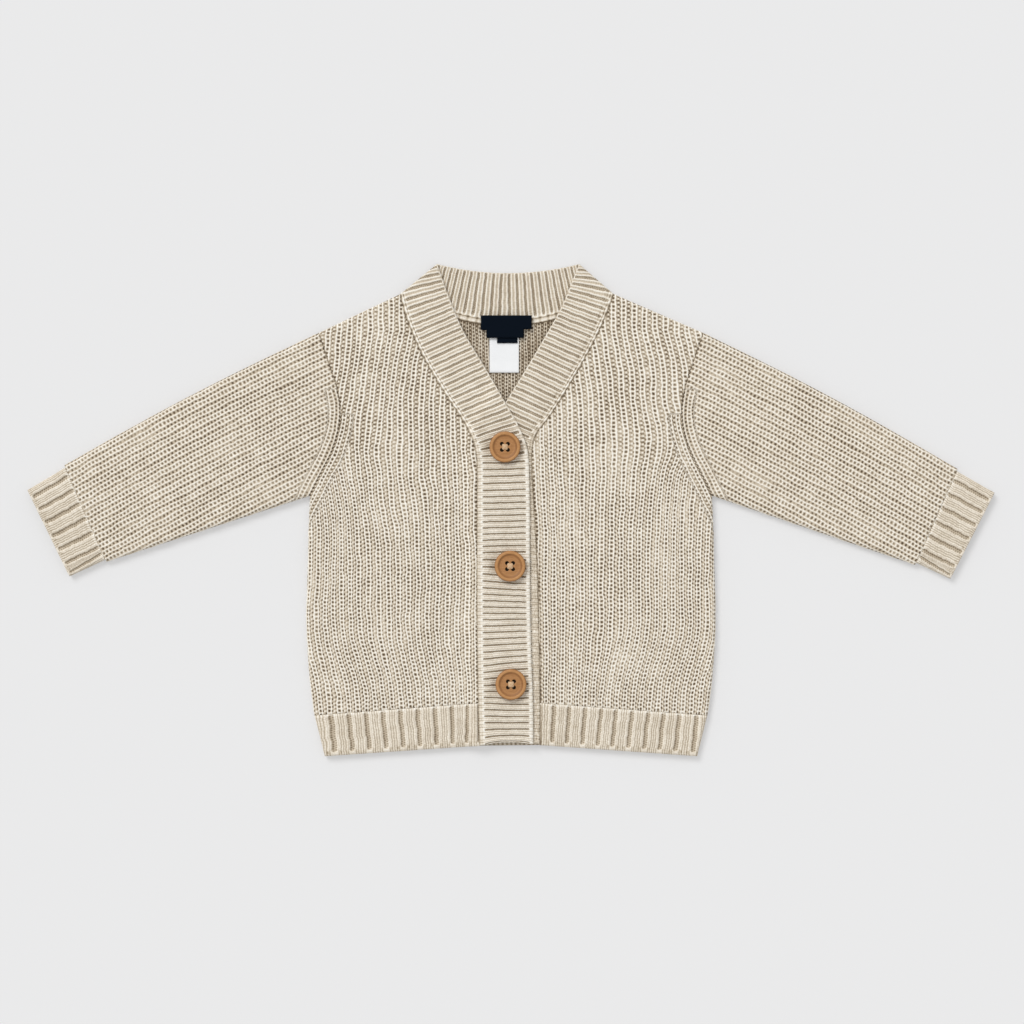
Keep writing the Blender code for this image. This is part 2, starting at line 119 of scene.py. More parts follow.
# Below the V this band is a little wider than its solid, by up to 3.4 mm at the seam
BUTTONHOLE_BAND = np.array((
    # seam_x  seam_y  edge_x  edge_y
    (-71.6, 139.3, -47.7, 158.9),  # neck point
    (-67.7, 125.1, -39.5, 136.1),
    (-58.1, 101.9, -31.0, 116.1),
    (-43.2, 76.1, -16.1, 90.9),
    (-29.7, 55.5, -3.9, 69.7),  # the fronts cross
    (-24.2, 43.9, 5.2, 53.5),
    (-22.1, 33.5, 10.4, 39.3),
    (-21.8, 12.9, 11.9, 14.2),
    (-21.9, -32.3, 12.1, -32.3),
    (-21.7, -83.9, 12.8, -83.9),
    (-21.0, -124.6, 14.1, -125.6),
    (-20.2, -149.8, 14.3, -149.4),
))
BUTTON_BAND = np.array((
    # seam_x  seam_y  edge_x  edge_y
    (66.4, 139.3, 43.9, 158.9),  # neck point
    (58.7, 119.4, 32.8, 131.5),
    (49.5, 101.0, 23.5, 114.6),
    (35.0, 76.0, 8.8, 89.5),
    (24.5, 59.5, -2.6, 71.0),  # the fronts cross
    (16.4, 49.0, -10.0, 57.0),
    (13.5, 37.0, -14.8, 42.0),
    (14.2, 12.9, -14.8, 13.5),
    (16.8, -32.3, -12.9, -32.3),
    (18.1, -83.9, -11.6, -83.9),
    (18.7, -124.6, -11.0, -124.9),
    (18.7, -149.4, -11.0, -148.6),
))
NECK_SEAM_DIP = 20.6
NECK_EDGE_DIP = 5.8

CUFF_JOINT = {
    "left": np.array(((288.3, 26.6), (260.8, -35.4))),
    "right": np.array(((288.3, 28.9), (261.2, -33.4))),
}
CUFF_END = {
    "left": np.array(((312.2, 11.2), (283.6, -44.4))),
    "right": np.array(((312.2, 12.9), (285.0, -42.8))),
}
SLEEVE_BOW = 2.6  # how far the top fold bows up in the middle

Button = namedtuple("Button", "name x y")
BUTTONS = [Button(*row) for row in (
    ("button_top", -3.9, 40.6),
    ("button_middle", -0.6, -36.1),
    ("button_bottom", 0.0, -112.2),
)]

# Where the rows of holes run on the fronts, as x at some heights for a few of them. They fan out below
# the armhole, lean with the shoulder above it, and draw together at the hem.
WALES = {
    "right": {
        "numbers": (0, 3, 6, 9, 12, 14, 16, 18),
        "rows": (
            # y      x of each row of holes, from the band out
            (116.0, -20.0, -37.0, -57.5, -77.2, -97.4, -110.6, -124.6, -138.5),
            (90.3, -23.0, -43.0, -62.5, -81.2, -100.7, -112.8, -127.0, -141.0),
            (70.9, -24.4, -44.4, -64.8, -83.5, -103.5, -117.0, -131.0, -145.0),
            (51.6, -24.4, -44.0, -64.8, -85.2, -106.5, -119.8, -133.0, -146.0),
            (38.7, -24.4, -43.5, -64.5, -87.0, -105.6, -119.5, -133.0, -146.0),
            (22.6, -22.6, -43.0, -64.6, -84.8, -104.2, -114.6, -124.6, -134.0),
            (6.5, -22.5, -41.5, -62.6, -84.2, -101.5, -111.5, -121.0, -130.6),
            (-14.2, -22.5, -41.5, -60.6, -80.0, -99.7, -109.7, -118.6, -129.9),
            (-41.9, -21.6, -40.2, -59.8, -79.0, -98.4, -109.5, -119.2, -129.9),
            (-80.6, -21.9, -41.5, -60.0, -78.0, -97.0, -108.2, -119.5, -131.2),
            (-112.9, -21.9, -37.6, -54.2, -71.9, -89.0, -100.4, -112.1, -124.6),
            (-132.0, -21.5, -36.6, -53.0, -70.2, -87.2, -98.4, -110.2, -122.5),
        ),
    },
    "left": {
        "numbers": (0, 3, 6, 9, 12, 14, 16, 19),
        "rows": (
            (116.0, 5.0, 26.0, 46.0, 66.0, 86.0, 100.0, 113.5, 134.0),
            (90.3, 9.0, 29.0, 49.0, 70.4, 91.8, 105.5, 118.8, 139.0),
            (70.9, 11.5, 31.0, 51.0, 72.0, 92.3, 106.4, 120.4, 141.0),
            (51.6, 14.0, 31.5, 51.9, 74.0, 95.4, 109.7, 123.5, 144.0),
            (38.7, 13.9, 31.8, 52.5, 74.0, 95.8, 109.0, 122.5, 143.0),
            (22.6, 14.6, 32.1, 53.2, 72.7, 92.2, 103.3, 113.5, 131.0),
            (6.5, 15.3, 33.0, 52.2, 72.2, 90.4, 101.3, 111.0, 130.0),
            (-14.2, 16.6, 33.4, 51.8, 71.4, 89.1, 100.0, 110.2, 127.2),
            (-41.9, 16.4, 33.7, 51.9, 71.1, 88.4, 99.5, 110.2, 126.4),
            (-80.6, 17.5, 33.7, 51.0, 70.5, 87.7, 98.6, 109.7, 126.0),
            (-112.9, 17.2, 33.1, 48.5, 63.8, 79.7, 90.7, 101.7, 118.0),
            (-132.0, 17.2, 32.7, 47.6, 62.6, 78.2, 89.0, 100.0, 116.0),
        ),
    },
}

# The bands' grooves, counted from the neck: where they meet the seam and the free edge
BAND_GROOVES = {
    "right": np.array((
        # number  seam_y  edge_y
        (-1.0, 160.0, 161.6), (3.0, 134.7, 143.2), (5.0, 123.2, 134.2), (7.0, 113.6, 125.7),
        (10.0, 100.4, 113.0), (13.0, 87.2, 100.5), (16.0, 74.9, 88.1), (19.0, 62.6, 74.4),
        (21.0, 54.3, 65.2), (23.0, 46.5, 55.6), (24.0, 42.5, 50.4), (25.0, 38.3, 44.3),
        (26.0, 34.1, 37.4), (27.0, 30.1, 31.7), (28.0, 25.9, 27.0), (31.0, 12.3, 13.3), (34.0, 0.1, 1.0),
        (38.0, -15.7, -14.9), (41.0, -27.6, -27.3), (44.0, -40.9, -43.0), (46.0, -49.9, -51.7),
        (48.0, -58.2, -59.4), (52.0, -75.0, -74.0), (55.0, -87.6, -85.8), (58.0, -100.9, -97.6),
        (61.0, -113.3, -112.0), (64.0, -124.4, -125.1), (69.0, -145.7, -145.0), (71.5, -155.0, -154.5),
    )),
    "left": np.array((
        (-1.0, 161.0, 159.0), (3.0, 134.2, 142.1), (5.0, 123.5, 133.5), (7.0, 114.8, 125.4),
        (10.0, 101.6, 113.3), (13.0, 88.2, 100.8), (16.0, 75.3, 88.1), (19.0, 62.4, 74.7),
        (21.0, 53.8, 65.3), (23.0, 45.5, 55.2), (25.0, 37.5, 45.0), (27.0, 29.8, 36.0),
        (29.0, 22.5, 27.5), (71.0, -147.6, -147.6), (73.0, -155.7, -155.7),
    )),
}
NECK_GROOVES = np.array((  # from the middle out, where they start at the edge and end at the seam
    # edge_x  seam_x
    (-46.0, -56.0), (-42.0, -50.0), (-38.0, -45.5), (-34.0, -41.1), (-29.7, -36.1), (-25.2, -31.2),
    (-20.6, -25.3), (-15.9, -19.4), (-10.9, -13.6), (-6.0, -7.8), (-1.2, -0.6), (3.6, 5.0), (8.3, 10.6),
    (13.0, 16.3), (17.7, 21.9), (22.2, 27.3), (26.4, 32.5), (30.6, 37.3), (34.7, 41.7), (38.7, 45.8),
    (42.7, 50.0),
))

# Where the hems' grooves end at the foot, and how far out each starts from there at the top
HEM_GROOVES = {
    "right": np.array((
        (-141.0, -4.0), (-127.5, -4.0), (-113.0, -2.8), (-101.7, -2.8), (-90.8, -2.8), (-80.0, -2.8),
        (-69.1, -2.5), (-58.4, -2.0), (-47.6, -1.5), (-37.3, -0.8), (-28.5, 0.8), (-21.0, -0.3),
        (-9.6, 0.0),
    )),
    "left": np.array((
        (5.6, 0.0), (15.6, 0.0), (26.8, 1.2), (36.1, 1.4), (46.1, 1.8), (55.8, 2.6), (65.1, 2.8),
        (75.5, 2.8), (85.8, 2.8), (95.5, 3.0), (105.8, 2.8), (117.4, 2.4), (128.0, 2.4), (138.6, 2.4),
    )),
}
# The cuffs' grooves, as shares of the cuff's width from its top fold
CUFF_GROOVES = np.array((-0.05, 0.098, 0.242, 0.393, 0.55, 0.706, 0.866, 0.972, 1.1))
CUFF_LEAN = 0.045  # how much further up the lowest groove starts at the sleeve
LOWEST_GROOVE = (0.88, 0.97)
BESIDE_BAND = 11  # the narrow groove of the right hem, next to the band


# ---------------------------------------------------------------- finishes as expressions


class Wire:
    """A socket of a finish. Arithmetic on it adds the nodes that work it out."""

    def __init__(self, finish, socket):
        self.finish = finish
        self.socket = socket

    def math(self, operation, *values):
        return self.finish.node("ShaderNodeMath", {"operation": operation}, *values)

    def __add__(self, other):
        return self.math("ADD", self, other)

    def __sub__(self, other):
        return self.math("SUBTRACT", self, other)

    def __rsub__(self, other):
        return self.math("SUBTRACT", other, self)

    def __mul__(self, other):
        return self.math("MULTIPLY", self, other)

    def __truediv__(self, other):
        return self.math("DIVIDE", self, other)

    def __neg__(self):
        return self.math("MULTIPLY", self, -1.0)

    def __abs__(self):
        return self.math("ABSOLUTE", self)

    __radd__ = __add__
    __rmul__ = __mul__


class Finish:
    """A material whose nodes are written as expressions."""

    def __init__(self, name):
        self.material = bpy.data.materials.new(name)
        self.material.use_nodes = True
        self.tree = self.material.node_tree
        self.surface = self.tree.nodes["Principled BSDF"]

    def node(self, kind, settings=None, *values, output=0, sockets=None):
        """Adds a node: its settings first, then the values or links of its sockets.

        values go to its first sockets in order, and sockets holds others by their names or numbers.
        """
        made = self.tree.nodes.new(kind)
        for key, value in (settings or {}).items():
            if key == "stops":
                self.set_stops(made.color_ramp, value)
            else:
                setattr(made, key, value)
        for place, value in {**dict(enumerate(values)), **(sockets or {})}.items():
            self.feed(made.inputs[place], value)
        return Wire(self, made.outputs[output])

    def set_stops(self, ramp, stops):
        while len(ramp.elements) < len(stops):
            ramp.elements.new(1.0)
        for element, (place, colour) in zip(ramp.elements, stops):
            element.position = place
            element.color = (*colour, 1.0)

    def feed(self, socket, value):
        if isinstance(value, Wire):
            self.tree.links.new(value.socket, socket)
        else:
            socket.default_value = value

    def attribute(self, name):
        """The three numbers that a mesh keeps at each point under a name."""
        read = self.node("ShaderNodeAttribute", {"attribute_name": name}, output="Vector")
        return self.parts(read)

    def parts(self, vector):
        split = self.node("ShaderNodeSeparateXYZ", None, vector)
        return [Wire(self, socket) for socket in split.socket.node.outputs]

    def place(self):
        return self.node("ShaderNodeTexCoord", output="Object")

    def shader(self):
        return Wire(self, self.surface.outputs[0])

    def noise(self, vector, scale, detail=2.0, roughness=0.5):
        sockets = {"Vector": vector, "Scale": scale, "Detail": detail, "Roughness": roughness}
        return self.node("ShaderNodeTexNoise", {"noise_dimensions": "3D"}, sockets=sockets)

    def blend(self, share, low, high):
        """Mixes two colours."""
        sockets = {0: share, 6: low, 7: high}
        return self.node("ShaderNodeMix", {"data_type": "RGBA"}, output=2, sockets=sockets)

    def bump(self, height, strength, distance):
        sockets = {"Height": height, "Strength": strength, "Distance": distance}
        return self.node("ShaderNodeBump", sockets=sockets)

    def set(self, **sockets):
        """Sets the surface's own sockets, each by its name with _ for a space."""
        for name, value in sockets.items():
            self.feed(self.surface.inputs[name.replace("_", " ")], value)


# ---------------------------------------------------------------- shared by meshes and finishes
# These take arrays of numbers and wires alike, so that colour and relief agree.


def rounded(value):
    return value.math("ROUND", value) if isinstance(value, Wire) else np.round(value)


def centred(value):
    """What is left of a value beside its nearest whole number."""
    return value - rounded(value)


def bell(offset, width):
    """1 in the middle, falling off smoothly on both sides."""
    share = offset / width
    power = -(share * share)
    return power.math("EXPONENT", power) if isinstance(power, Wire) else np.exp(power)


def plateau(offset, width):
    """Like a bell with a flat top and steeper sides."""
    share = offset / width
    square = share * share
    power = -(square * square)
    return power.math("EXPONENT", power) if isinstance(power, Wire) else np.exp(power)


def ease(value, low, high):
    """Rises smoothly from 0 at low to 1 at high."""
    if isinstance(value, Wire):
        settings = {"interpolation_type": "SMOOTHSTEP"}
        return value.finish.node("ShaderNodeMapRange", settings, value, low, high, 0.0, 1.0)
    share = np.clip((value - low) / (high - low), 0.0, 1.0)
    return share * share * (3.0 - 2.0 * share)


def fold_back(value):
    """A triangle wave: 0 at whole numbers and 0.5 half way between them."""
    return abs(centred(value))


def above_zero(value):
    return value.math("MAXIMUM", value, 0.0) if isinstance(value, Wire) else np.maximum(value, 0.0)


def root(value):
    return value.math("SQRT", value) if isinstance(value, Wire) else np.sqrt(value)


def lace(u, v):
    """Open knit: a row of holes at each whole u, and between them a wale of stitches that nest as arches.

    Low down an arch shows as two marks beside the middle, one above the other. High up it shows as one.
    """
    beside = fold_back(u)
    row = centred(v)
    from_wale = 0.5 - beside
    left_half = rounded(centred(u) + 0.5)
    hole = bell(beside, 0.12) * bell(row, 0.28)
    arch = centred(v - 0.4 + from_wale * from_wale * 9.5)
    crown = bell(arch, 0.18) * plateau(from_wale, 0.24)
    pair = bell(from_wale - 0.17, 0.075) * bell(centred(v + 0.02 + left_half * 0.46), 0.21)
    single = bell(from_wale, 0.12) * bell(centred(v - 0.5), 0.23)
    high = ease(v, 4.0, 24.0)
    cap = crown * (0.2 + high * 0.2) + pair * (1.4 - high * 0.8) + single * high * 0.7
    bridge = bell(beside, 0.13) * bell(0.5 - abs(row), 0.17)
    spine = bell(from_wale, 0.075) * bell(centred(v + 0.1), 0.2)
    line = bell(beside - 0.2, 0.065) + bridge * 0.8 + spine * 0.9
    return hole, cap, line


def ladder(u, v):
    """The sleeves' closer knit: the plain wale between the holes is pulled to a row of small dark marks."""
    beside = fold_back(u)
    row = centred(v)
    from_wale = 0.5 - beside
    hole = bell(beside, 0.13) * bell(row, 0.26)
    cap = bell(from_wale, 0.125) * bell(centred(v - 0.6), 0.23) * 1.6
    bridge = bell(beside, 0.14) * bell(0.5 - abs(row), 0.18)
    line = bell(beside - 0.25, 0.09) * (1.0 - bell(row, 0.22) * 0.35) + bridge * 0.85
    return hole, cap, line


Ribbed = namedtuple("Ribbed", "hollow outline rim furrow purl bead slit")


def ribs(u, v, w, make):
    """Ribs with a groove at each whole u. v and w are the distances from the seam and the free edge.

    Gives the groove and its outline, the raised rim beside it, the lines between a rib's wales, the
    stitches of the groove and of the ribs, and the slits near the free edge.
    """
    beside = fold_back(u)
    side = beside / make.groove
    near_seam = above_zero(make.seam_margin - v) / make.seam_reach
    near_edge = above_zero(make.edge_margin - w) / make.edge_reach
    far = root(side * side + near_seam * near_seam + near_edge * near_edge)
    hollow = plateau(far, 1.0)
    across = above_zero(beside - make.groove) / (0.5 - make.groove) * (make.wales / 2.0)
    furrow = bell(0.5 - fold_back(across), 0.22) * (1.0 - hollow)
    stitch = v / RIB_COURSE
    other_side = rounded(centred(u) + 0.5)
    purl = bell(side - 0.5, 0.3) * bell(centred(v / PURL_COURSE + other_side * 0.5), 0.27) * hollow
    bead = fold_back(stitch + rounded(across) * 0.5) * (1.0 - hollow)
    slit = bell(beside - make.groove * 2.1, 0.06) * bell(w - 2.3, 0.9)
    return Ribbed(hollow, bell(far - 0.9, 0.25), bell(far - make.rim, 0.35), furrow, purl, bead, slit)


def linked(u, across, place, width):
    """A dark line of small gaps between linked stitches: painted shade in the gaps."""
    return bell(across - place, width) * (0.75 + bell(centred(u * 2.0), 0.2) * 0.4)


# ---------------------------------------------------------------- lines in the plan


def mix(low, high, share):
    return low + (high - low) * share


def norms(vectors):
    return np.linalg.norm(vectors, axis=1)


def unit(vectors):
    return vectors / norms(vectors)[:, None]


def pairings(*axes):
    """Every pairing of two rows of values, as two long rows."""
    return [part.ravel() for part in np.meshgrid(*axes)]


def read_off(rows, known, wanted):
    """The rows of a table in between, where known holds one rising number for each row."""
    return np.stack([np.interp(wanted, known, column) for column in rows.T], axis=1)


def at_rows(rows, wanted):
    """The rows of a table at row numbers that needn't be whole."""
    return read_off(rows, np.arange(len(rows)), wanted)


def smooth_line(points, step=1.5):
    """A smooth curve through points, with a point about every step."""
    points = np.asarray(points, float)
    padded = np.vstack((2.0 * points[0] - points[1], points, 2.0 * points[-1] - points[-2]))
    drawn = []
    for a, b, c, d in zip(padded, padded[1:], padded[2:], padded[3:]):
        before, middle, after = (math.dist(p[:2], q[:2]) ** 0.5 for p, q in ((a, b), (b, c), (c, d)))
        leave = (b - a) / before - (c - a) / (before + middle) + (c - b) / middle
        arrive = (c - b) / middle - (d - b) / (middle + after) + (d - c) / after
        count = max(1, round(math.dist(b[:2], c[:2]) / step))
        share = (np.arange(count) / count)[:, None]
        cube, square = share ** 3, share ** 2
        drawn.append(
            (2 * cube - 3 * square + 1) * b + (3 * square - 2 * cube) * c
            + (cube - 2 * square + share) * leave * middle + (cube - square) * arrive * middle
        )
    return np.vstack(drawn + [points[-1:]])


def lengths(line):
    """The distance along a line at each of its points."""
    return np.concatenate(([0.0], np.cumsum(norms(np.diff(line, axis=0)))))


def respaced(line, step):
    """The same line with evenly spaced points."""
    far = lengths(line)
    count = max(1, round(far[-1] / step))
    return read_off(line, far, np.linspace(0.0, far[-1], count + 1))


def crossing(line, y):
    """The x of a line at heights y. The line runs up or down."""
    order = line if line[0, 1] < line[-1, 1] else line[::-1]
    return np.interp(y, order[:, 1], order[:, 0])


def nearest_points(points, line):
    """The number of the line's nearest point, for each of the points."""
    tree = KDTree(len(line))
    for number, (x, y) in enumerate(np.asarray(line).tolist()):
        tree.insert((x, y, 0.0), number)
    tree.balance()
    return np.array([tree.find((x, y, 0.0))[1] for x, y in np.asarray(points).tolist()], int)


def nearest(points, line, closed=False):
    """For each point: its distance to a line, the foot on it, and the number of the stretch that it is on."""
    at = nearest_points(points, line)
    best = np.full(len(points), 1e9)
    foot = np.zeros_like(points)
    found = np.zeros(len(points), int)
    count = len(line)
    for back in (1, 0):
        start = (at - back) % count if closed else np.clip(at - back, 0, count - 2)
        a, b = line[start], line[(start + 1) % count]
        side = b - a
        square = np.maximum((side * side).sum(axis=1), 1e-12)
        share = np.clip(((points - a) * side).sum(axis=1) / square, 0.0, 1.0)
        spot = a + share[:, None] * side
        gap = norms(points - spot)
        closer = gap < best
        best[closer], foot[closer], found[closer] = gap[closer], spot[closer], start[closer]
    return best, foot, found


def inside(points, line):
    """Whether each point lies inside a closed line."""
    found = np.zeros(len(points), bool)
    for a, b in zip(line, np.roll(line, -1, axis=0)):
        spans = (a[1] > points[:, 1]) != (b[1] > points[:, 1])
        if not spans.any():
            continue
        x = a[0] + (points[spans, 1] - a[1]) * (b[0] - a[0]) / (b[1] - a[1])
        hit = np.zeros(len(points), bool)
        hit[spans] = points[spans, 0] < x
        found ^= hit
    return found


DRIFT_SIZE = 1024  # values each way, before the unevenness repeats
DRIFT_START = 500.0


def drift(x, y, size, seed):
    """Smooth unevenness between -1 and 1, with patches of about the given size."""
    x, y = np.broadcast_arrays(*(np.asarray(part, float) / size + DRIFT_START for part in (x, y)))
    values = np.random.default_rng(seed).uniform(-1.0, 1.0, (DRIFT_SIZE, DRIFT_SIZE))
    column, row = (np.floor(part).astype(int) % DRIFT_SIZE for part in (x, y))
    across, up = (part * part * (3.0 - 2.0 * part) for part in (x - np.floor(x), y - np.floor(y)))
    right, above = (column + 1) % DRIFT_SIZE, (row + 1) % DRIFT_SIZE
    low = mix(values[row, column], values[row, right], across)
    high = mix(values[above, column], values[above, right], across)
    return mix(low, high, up)


# ---------------------------------------------------------------- heights of the layers


def air(x, y):
    """The room between the fronts and the back."""
    from_side = ease(CHEST - abs(x), 0.0, AIR_SIDE)
    from_hem = ease(y - HEM_END, 0.0, AIR_END)
    from_shoulder = ease(SHOULDER_TOP - SHOULDER_SLOPE * abs(x) - y, 0.0, AIR_END)
    return AIR * from_side * from_hem * from_shoulder


def left_top(x, y):
    return FLAT_HEIGHT + air(x, y)


def right_top(x, y):
    """The wearer's right front climbs onto the button band."""
    before_edge = crossing(BUTTON_BAND[:, 2:], y) - x
    return left_top(x, y) + LAYER * ease(before_edge, LAP_STARTS, LAP_ENDS)


def back_top(x, y):
    return WALL + 0.0 * x


def table_top(x, y):
    return 0.0 * x


# ---------------------------------------------------------------- cloth


PRESSED_ROLL = 0.05
STEADY_WITHIN = 0.15  # nearer to the outline than this, the way in is square to its side


class Pattern:
    """A piece's outline: a closed line of plan points, with the radius that each stretch is rolled to."""

    def __init__(self, parts, step=LOOP_STEP):
        """parts are (line, radius, dark) in order round the piece, each starting where the last ends.

        dark, which may be left out, is how deep the painted shade along a seam lies on that stretch.
        """
        even = [respaced(np.asarray(part[0], float), step)[:-1] for part in parts]
        radii = [np.full(len(line), float(part[1])) for line, part in zip(even, parts)]
        shades = [float(part[2]) if len(part) > 2 else 0.0 for part in parts]
        darks = [np.full(len(line), shade) for line, shade in zip(even, shades)]
        line, radius, self.dark = np.vstack(even), np.concatenate(radii), np.concatenate(darks)
        x, y = line[:, 0], line[:, 1]
        self.area = 0.5 * float(np.sum(x * np.roll(y, -1) - np.roll(x, -1) * y))
        if self.area < 0.0:
            line, radius, self.dark, self.area = line[::-1], radius[::-1], self.dark[::-1], -self.area
        self.line = line
        sides = unit(np.roll(line, -1, axis=0) - line)
        self.side_inward = np.stack((-sides[:, 1], sides[:, 0]), axis=1)
        self.inward = unit(self.side_inward + np.roll(self.side_inward, 1, axis=0))
        self.roll_to(sum(np.roll(radius, turn) for turn in range(-3, 4)) / 7.0)

    def roll_to(self, radius):
        self.radius = radius
        self.expanded = self.line - self.inward * (radius * SPARE)[:, None]

    def pressed(self):
        """The same outline with hardly any roll, for a side that lies on another layer."""
        same = copy.copy(self)
        same.roll_to(np.full(len(self.line), PRESSED_ROLL))
        return same

    def size(self, grain=(0.0, 1.0)):
        """Its width and length, with its length along the grain."""
        along = np.array(grain) / math.hypot(*grain)
        reach = self.line @ np.column_stack(((along[1], -along[0]), along))
        return reach.max(axis=0) - reach.min(axis=0)

    def may_hold(self, points):
        low, high = self.expanded.min(axis=0) - 1.0, self.expanded.max(axis=0) + 1.0
        return ((points > low) & (points < high)).all(axis=1)

    def probe(self, points):
        """How far inside each point is, the way in, the radius that it is rolled to, and its painted seam
        shade.
        """
        gap, spot, at = nearest(points, self.line, closed=True)
        sign = np.where(inside(points, self.line), 1.0, -1.0)
        way_in = (points - spot) * (sign / np.maximum(gap, 1e-9))[:, None]
        steady = gap < STEADY_WITHIN
        way_in[steady] = self.side_inward[at[steady]]
        return gap * sign, way_in, self.radius[at], self.dark[at]


def ring_edges(first, count):
    """The edges of a closed ring of points, from the number of its first."""
    return [(first + i, first + (i + 1) % count) for i in range(count)]


def triangulated(points, edges):
    """Fills the space between plan points with triangles that keep the edges."""
    return delaunay_2d_cdt([Vector(point) for point in points.tolist()], edges, [], 1, 1e-7)


def triangles(loop, points):
    """Triangles that fill a closed loop through the points inside it. The loop's points come first."""
    made = triangulated(np.vstack((loop, points)), ring_edges(0, len(loop)))
    origin = [source[0] if source else -1 for source in made[3]]
    faces = [[origin[i] for i in face] for face in made[2]]
    return np.array([face for face in faces if len(face) == 3 and min(face) >= 0])


RELIEF_TOP = 0.45  # how proud the stitches stand, which a side that lies on something is set back by
SEAM_SHADE_REACH = 0.7
WALL_STRIP = 1.2  # the wall's width on the flat pattern
JOINED_WITHIN = 0.05  # sides of a tube whose edges are nearer than this are one cloth
UV_MARGIN = 0.01


def add_piece(name, points, faces, material):
    """An object with smooth faces. Its points are in mm."""
    mesh = bpy.data.meshes.new(name)
    mesh.from_pydata((points * MM).tolist(), [], faces)
    mesh.shade_smooth()
    mesh.materials.append(material)
    piece = bpy.data.objects.new(name, mesh)
    bpy.context.scene.collection.objects.link(piece)
    return piece


def keep(mesh, word, rows):
    """Keeps three numbers for each point, which the finishes read under the word."""
    kept = mesh.attributes.new(word, "FLOAT_VECTOR", "POINT")
    kept.data.foreach_set("vector", rows.astype(np.float32).ravel())


class Cloth:
    """Gathers the points and faces of one piece, with each point's place on the knit."""

    def __init__(self, name):
        self.name = name
        self.points, self.stitch, self.wear = [], [], []
        self.faces, self.corners, self.same = [], [], {}
        self.count = 0

    def add_points(self, points, stitch, wear):
        """Keeps points in mm, and gives back the number of the first."""
        first = self.count
        self.points.append(points)
        self.stitch.append(stitch)
        self.wear.append(wear)
        self.count += len(points)
        return first

    def add_faces(self, faces, corners):
        """Faces by their points' numbers, with the place of each corner on the flat pattern."""
        self.faces.append(faces)
        self.corners.append(corners)

    def add_side(self, pattern, knit, height, face_up=True, shift=(0.0, 0.0)):
        """One side of the piece: the flat knit, its edges rolled and its stitches raised.

        knit is (plan points, stitch, relief, wear), and height gives the z of the side at a plan place.
        Returns the numbers of the outline's points and their places on the flat pattern.
        """
        inside_box = pattern.may_hold(knit[0])
        knit = [part[inside_box] for part in knit]
        gap, inward, radius, dark = pattern.probe(knit[0])
        kept = gap + radius * SPARE > 0.3 * LOOP_STEP
        points, stitch, relief, wear = (part[kept] for part in knit)
        gap, inward, radius, dark = gap[kept], inward[kept], radius[kept], dark[kept]
        # Painted shade along the seams goes into the third number of wear.
        wear = wear + np.outer(dark * bell(np.maximum(gap, 0.0), SEAM_SHADE_REACH), (0.0, 0.0, 1.0))
        if not face_up:
            relief = relief - RELIEF_TOP
        faces = triangles(pattern.expanded, points)

        turn = np.clip(gap / radius + SPARE, 0.0, QUARTER)
        rolled = np.where(turn < QUARTER, radius * (1.0 - np.cos(turn)), gap)
        up = 1.0 if face_up else -1.0
        plan = points + inward * (rolled - gap)[:, None]
        z = height(plan[:, 0], plan[:, 1]) - up * radius * (1.0 - np.sin(turn)) + up * relief * np.sin(turn)
        plan = plan - inward * (relief * np.cos(turn))[:, None]

        loop_z = height(pattern.line[:, 0], pattern.line[:, 1]) - up * pattern.radius
        loop = np.column_stack((pattern.line, loop_z))
        beside = nearest_points(pattern.expanded, points)
        loop_wear = wear[beside]
        # The outline itself takes the full painted seam shade.
        loop_wear[:, 2] = np.maximum(loop_wear[:, 2], pattern.dark)
        first = self.add_points(
            np.vstack((loop, np.column_stack((plan, z)))),
            np.vstack((stitch[beside], stitch)), np.vstack((loop_wear, wear)))
        flat = np.vstack((pattern.expanded, points)) + np.asarray(shift)
        if not face_up:
            faces = faces[:, ::-1]
        self.add_faces(faces + first, flat[faces])
        return first + np.arange(len(loop)), flat[:len(loop)]

    def add_wall(self, pattern, upper, lower, flat):
        """The strip of cloth between the outlines of two sides."""
        ahead = np.roll(np.arange(len(upper)), -1)
        faces = np.column_stack((upper, lower, lower[ahead], upper[ahead]))
        out = flat - pattern.inward * WALL_STRIP
        self.add_faces(faces, np.stack((flat, out, out[ahead], flat[ahead]), axis=1))

    def place_of(self, numbers):
        return np.vstack(self.points)[numbers]

    def finish(self, material):
        points = np.vstack(self.points)
        number = np.arange(len(points))
        for kept, dropped in self.same.items():
            number[dropped] = kept
        faces = [number[part] for part in self.faces]
        used = np.zeros(len(points), bool)
        for part in faces:
            used[part.ravel()] = True
        order = np.cumsum(used) - 1
        faces = sum((order[part].tolist() for part in faces), [])
        piece = add_piece(self.name, points[used], faces, material)
        flat = np.vstack([corner.reshape(-1, 2) for corner in self.corners])
        low, high = flat.min(axis=0), flat.max(axis=0)
        layout = piece.data.uv_layers.new(name="OFBake")
        share = UV_MARGIN + (1.0 - 2.0 * UV_MARGIN) * (flat - low) / (high - low)
        layout.data.foreach_set("uv", share.astype(np.float32).ravel())
        keep(piece.data, "stitch", np.vstack(self.stitch)[used])
        keep(piece.data, "wear", np.vstack(self.wear)[used])
        return piece


def add_panel(name, pattern, upper, lower, height, rolled="upper", thickness=WALL):
    """A single layer of cloth. Its rolled side shows, and the other lies on the next layer."""
    cloth = Cloth(name)
    above = pattern if rolled != "lower" else pattern.pressed()
    below = pattern if rolled != "upper" else pattern.pressed()
    top, flat = cloth.add_side(above, upper, height)
    shift = (pattern.size()[0] + APART, 0.0)

    def foot(x, y):
        return height(x, y) - thickness

    low, _ = cloth.add_side(below, lower, foot, face_up=False, shift=shift)
    cloth.add_wall(pattern, top, low, flat)
    return cloth


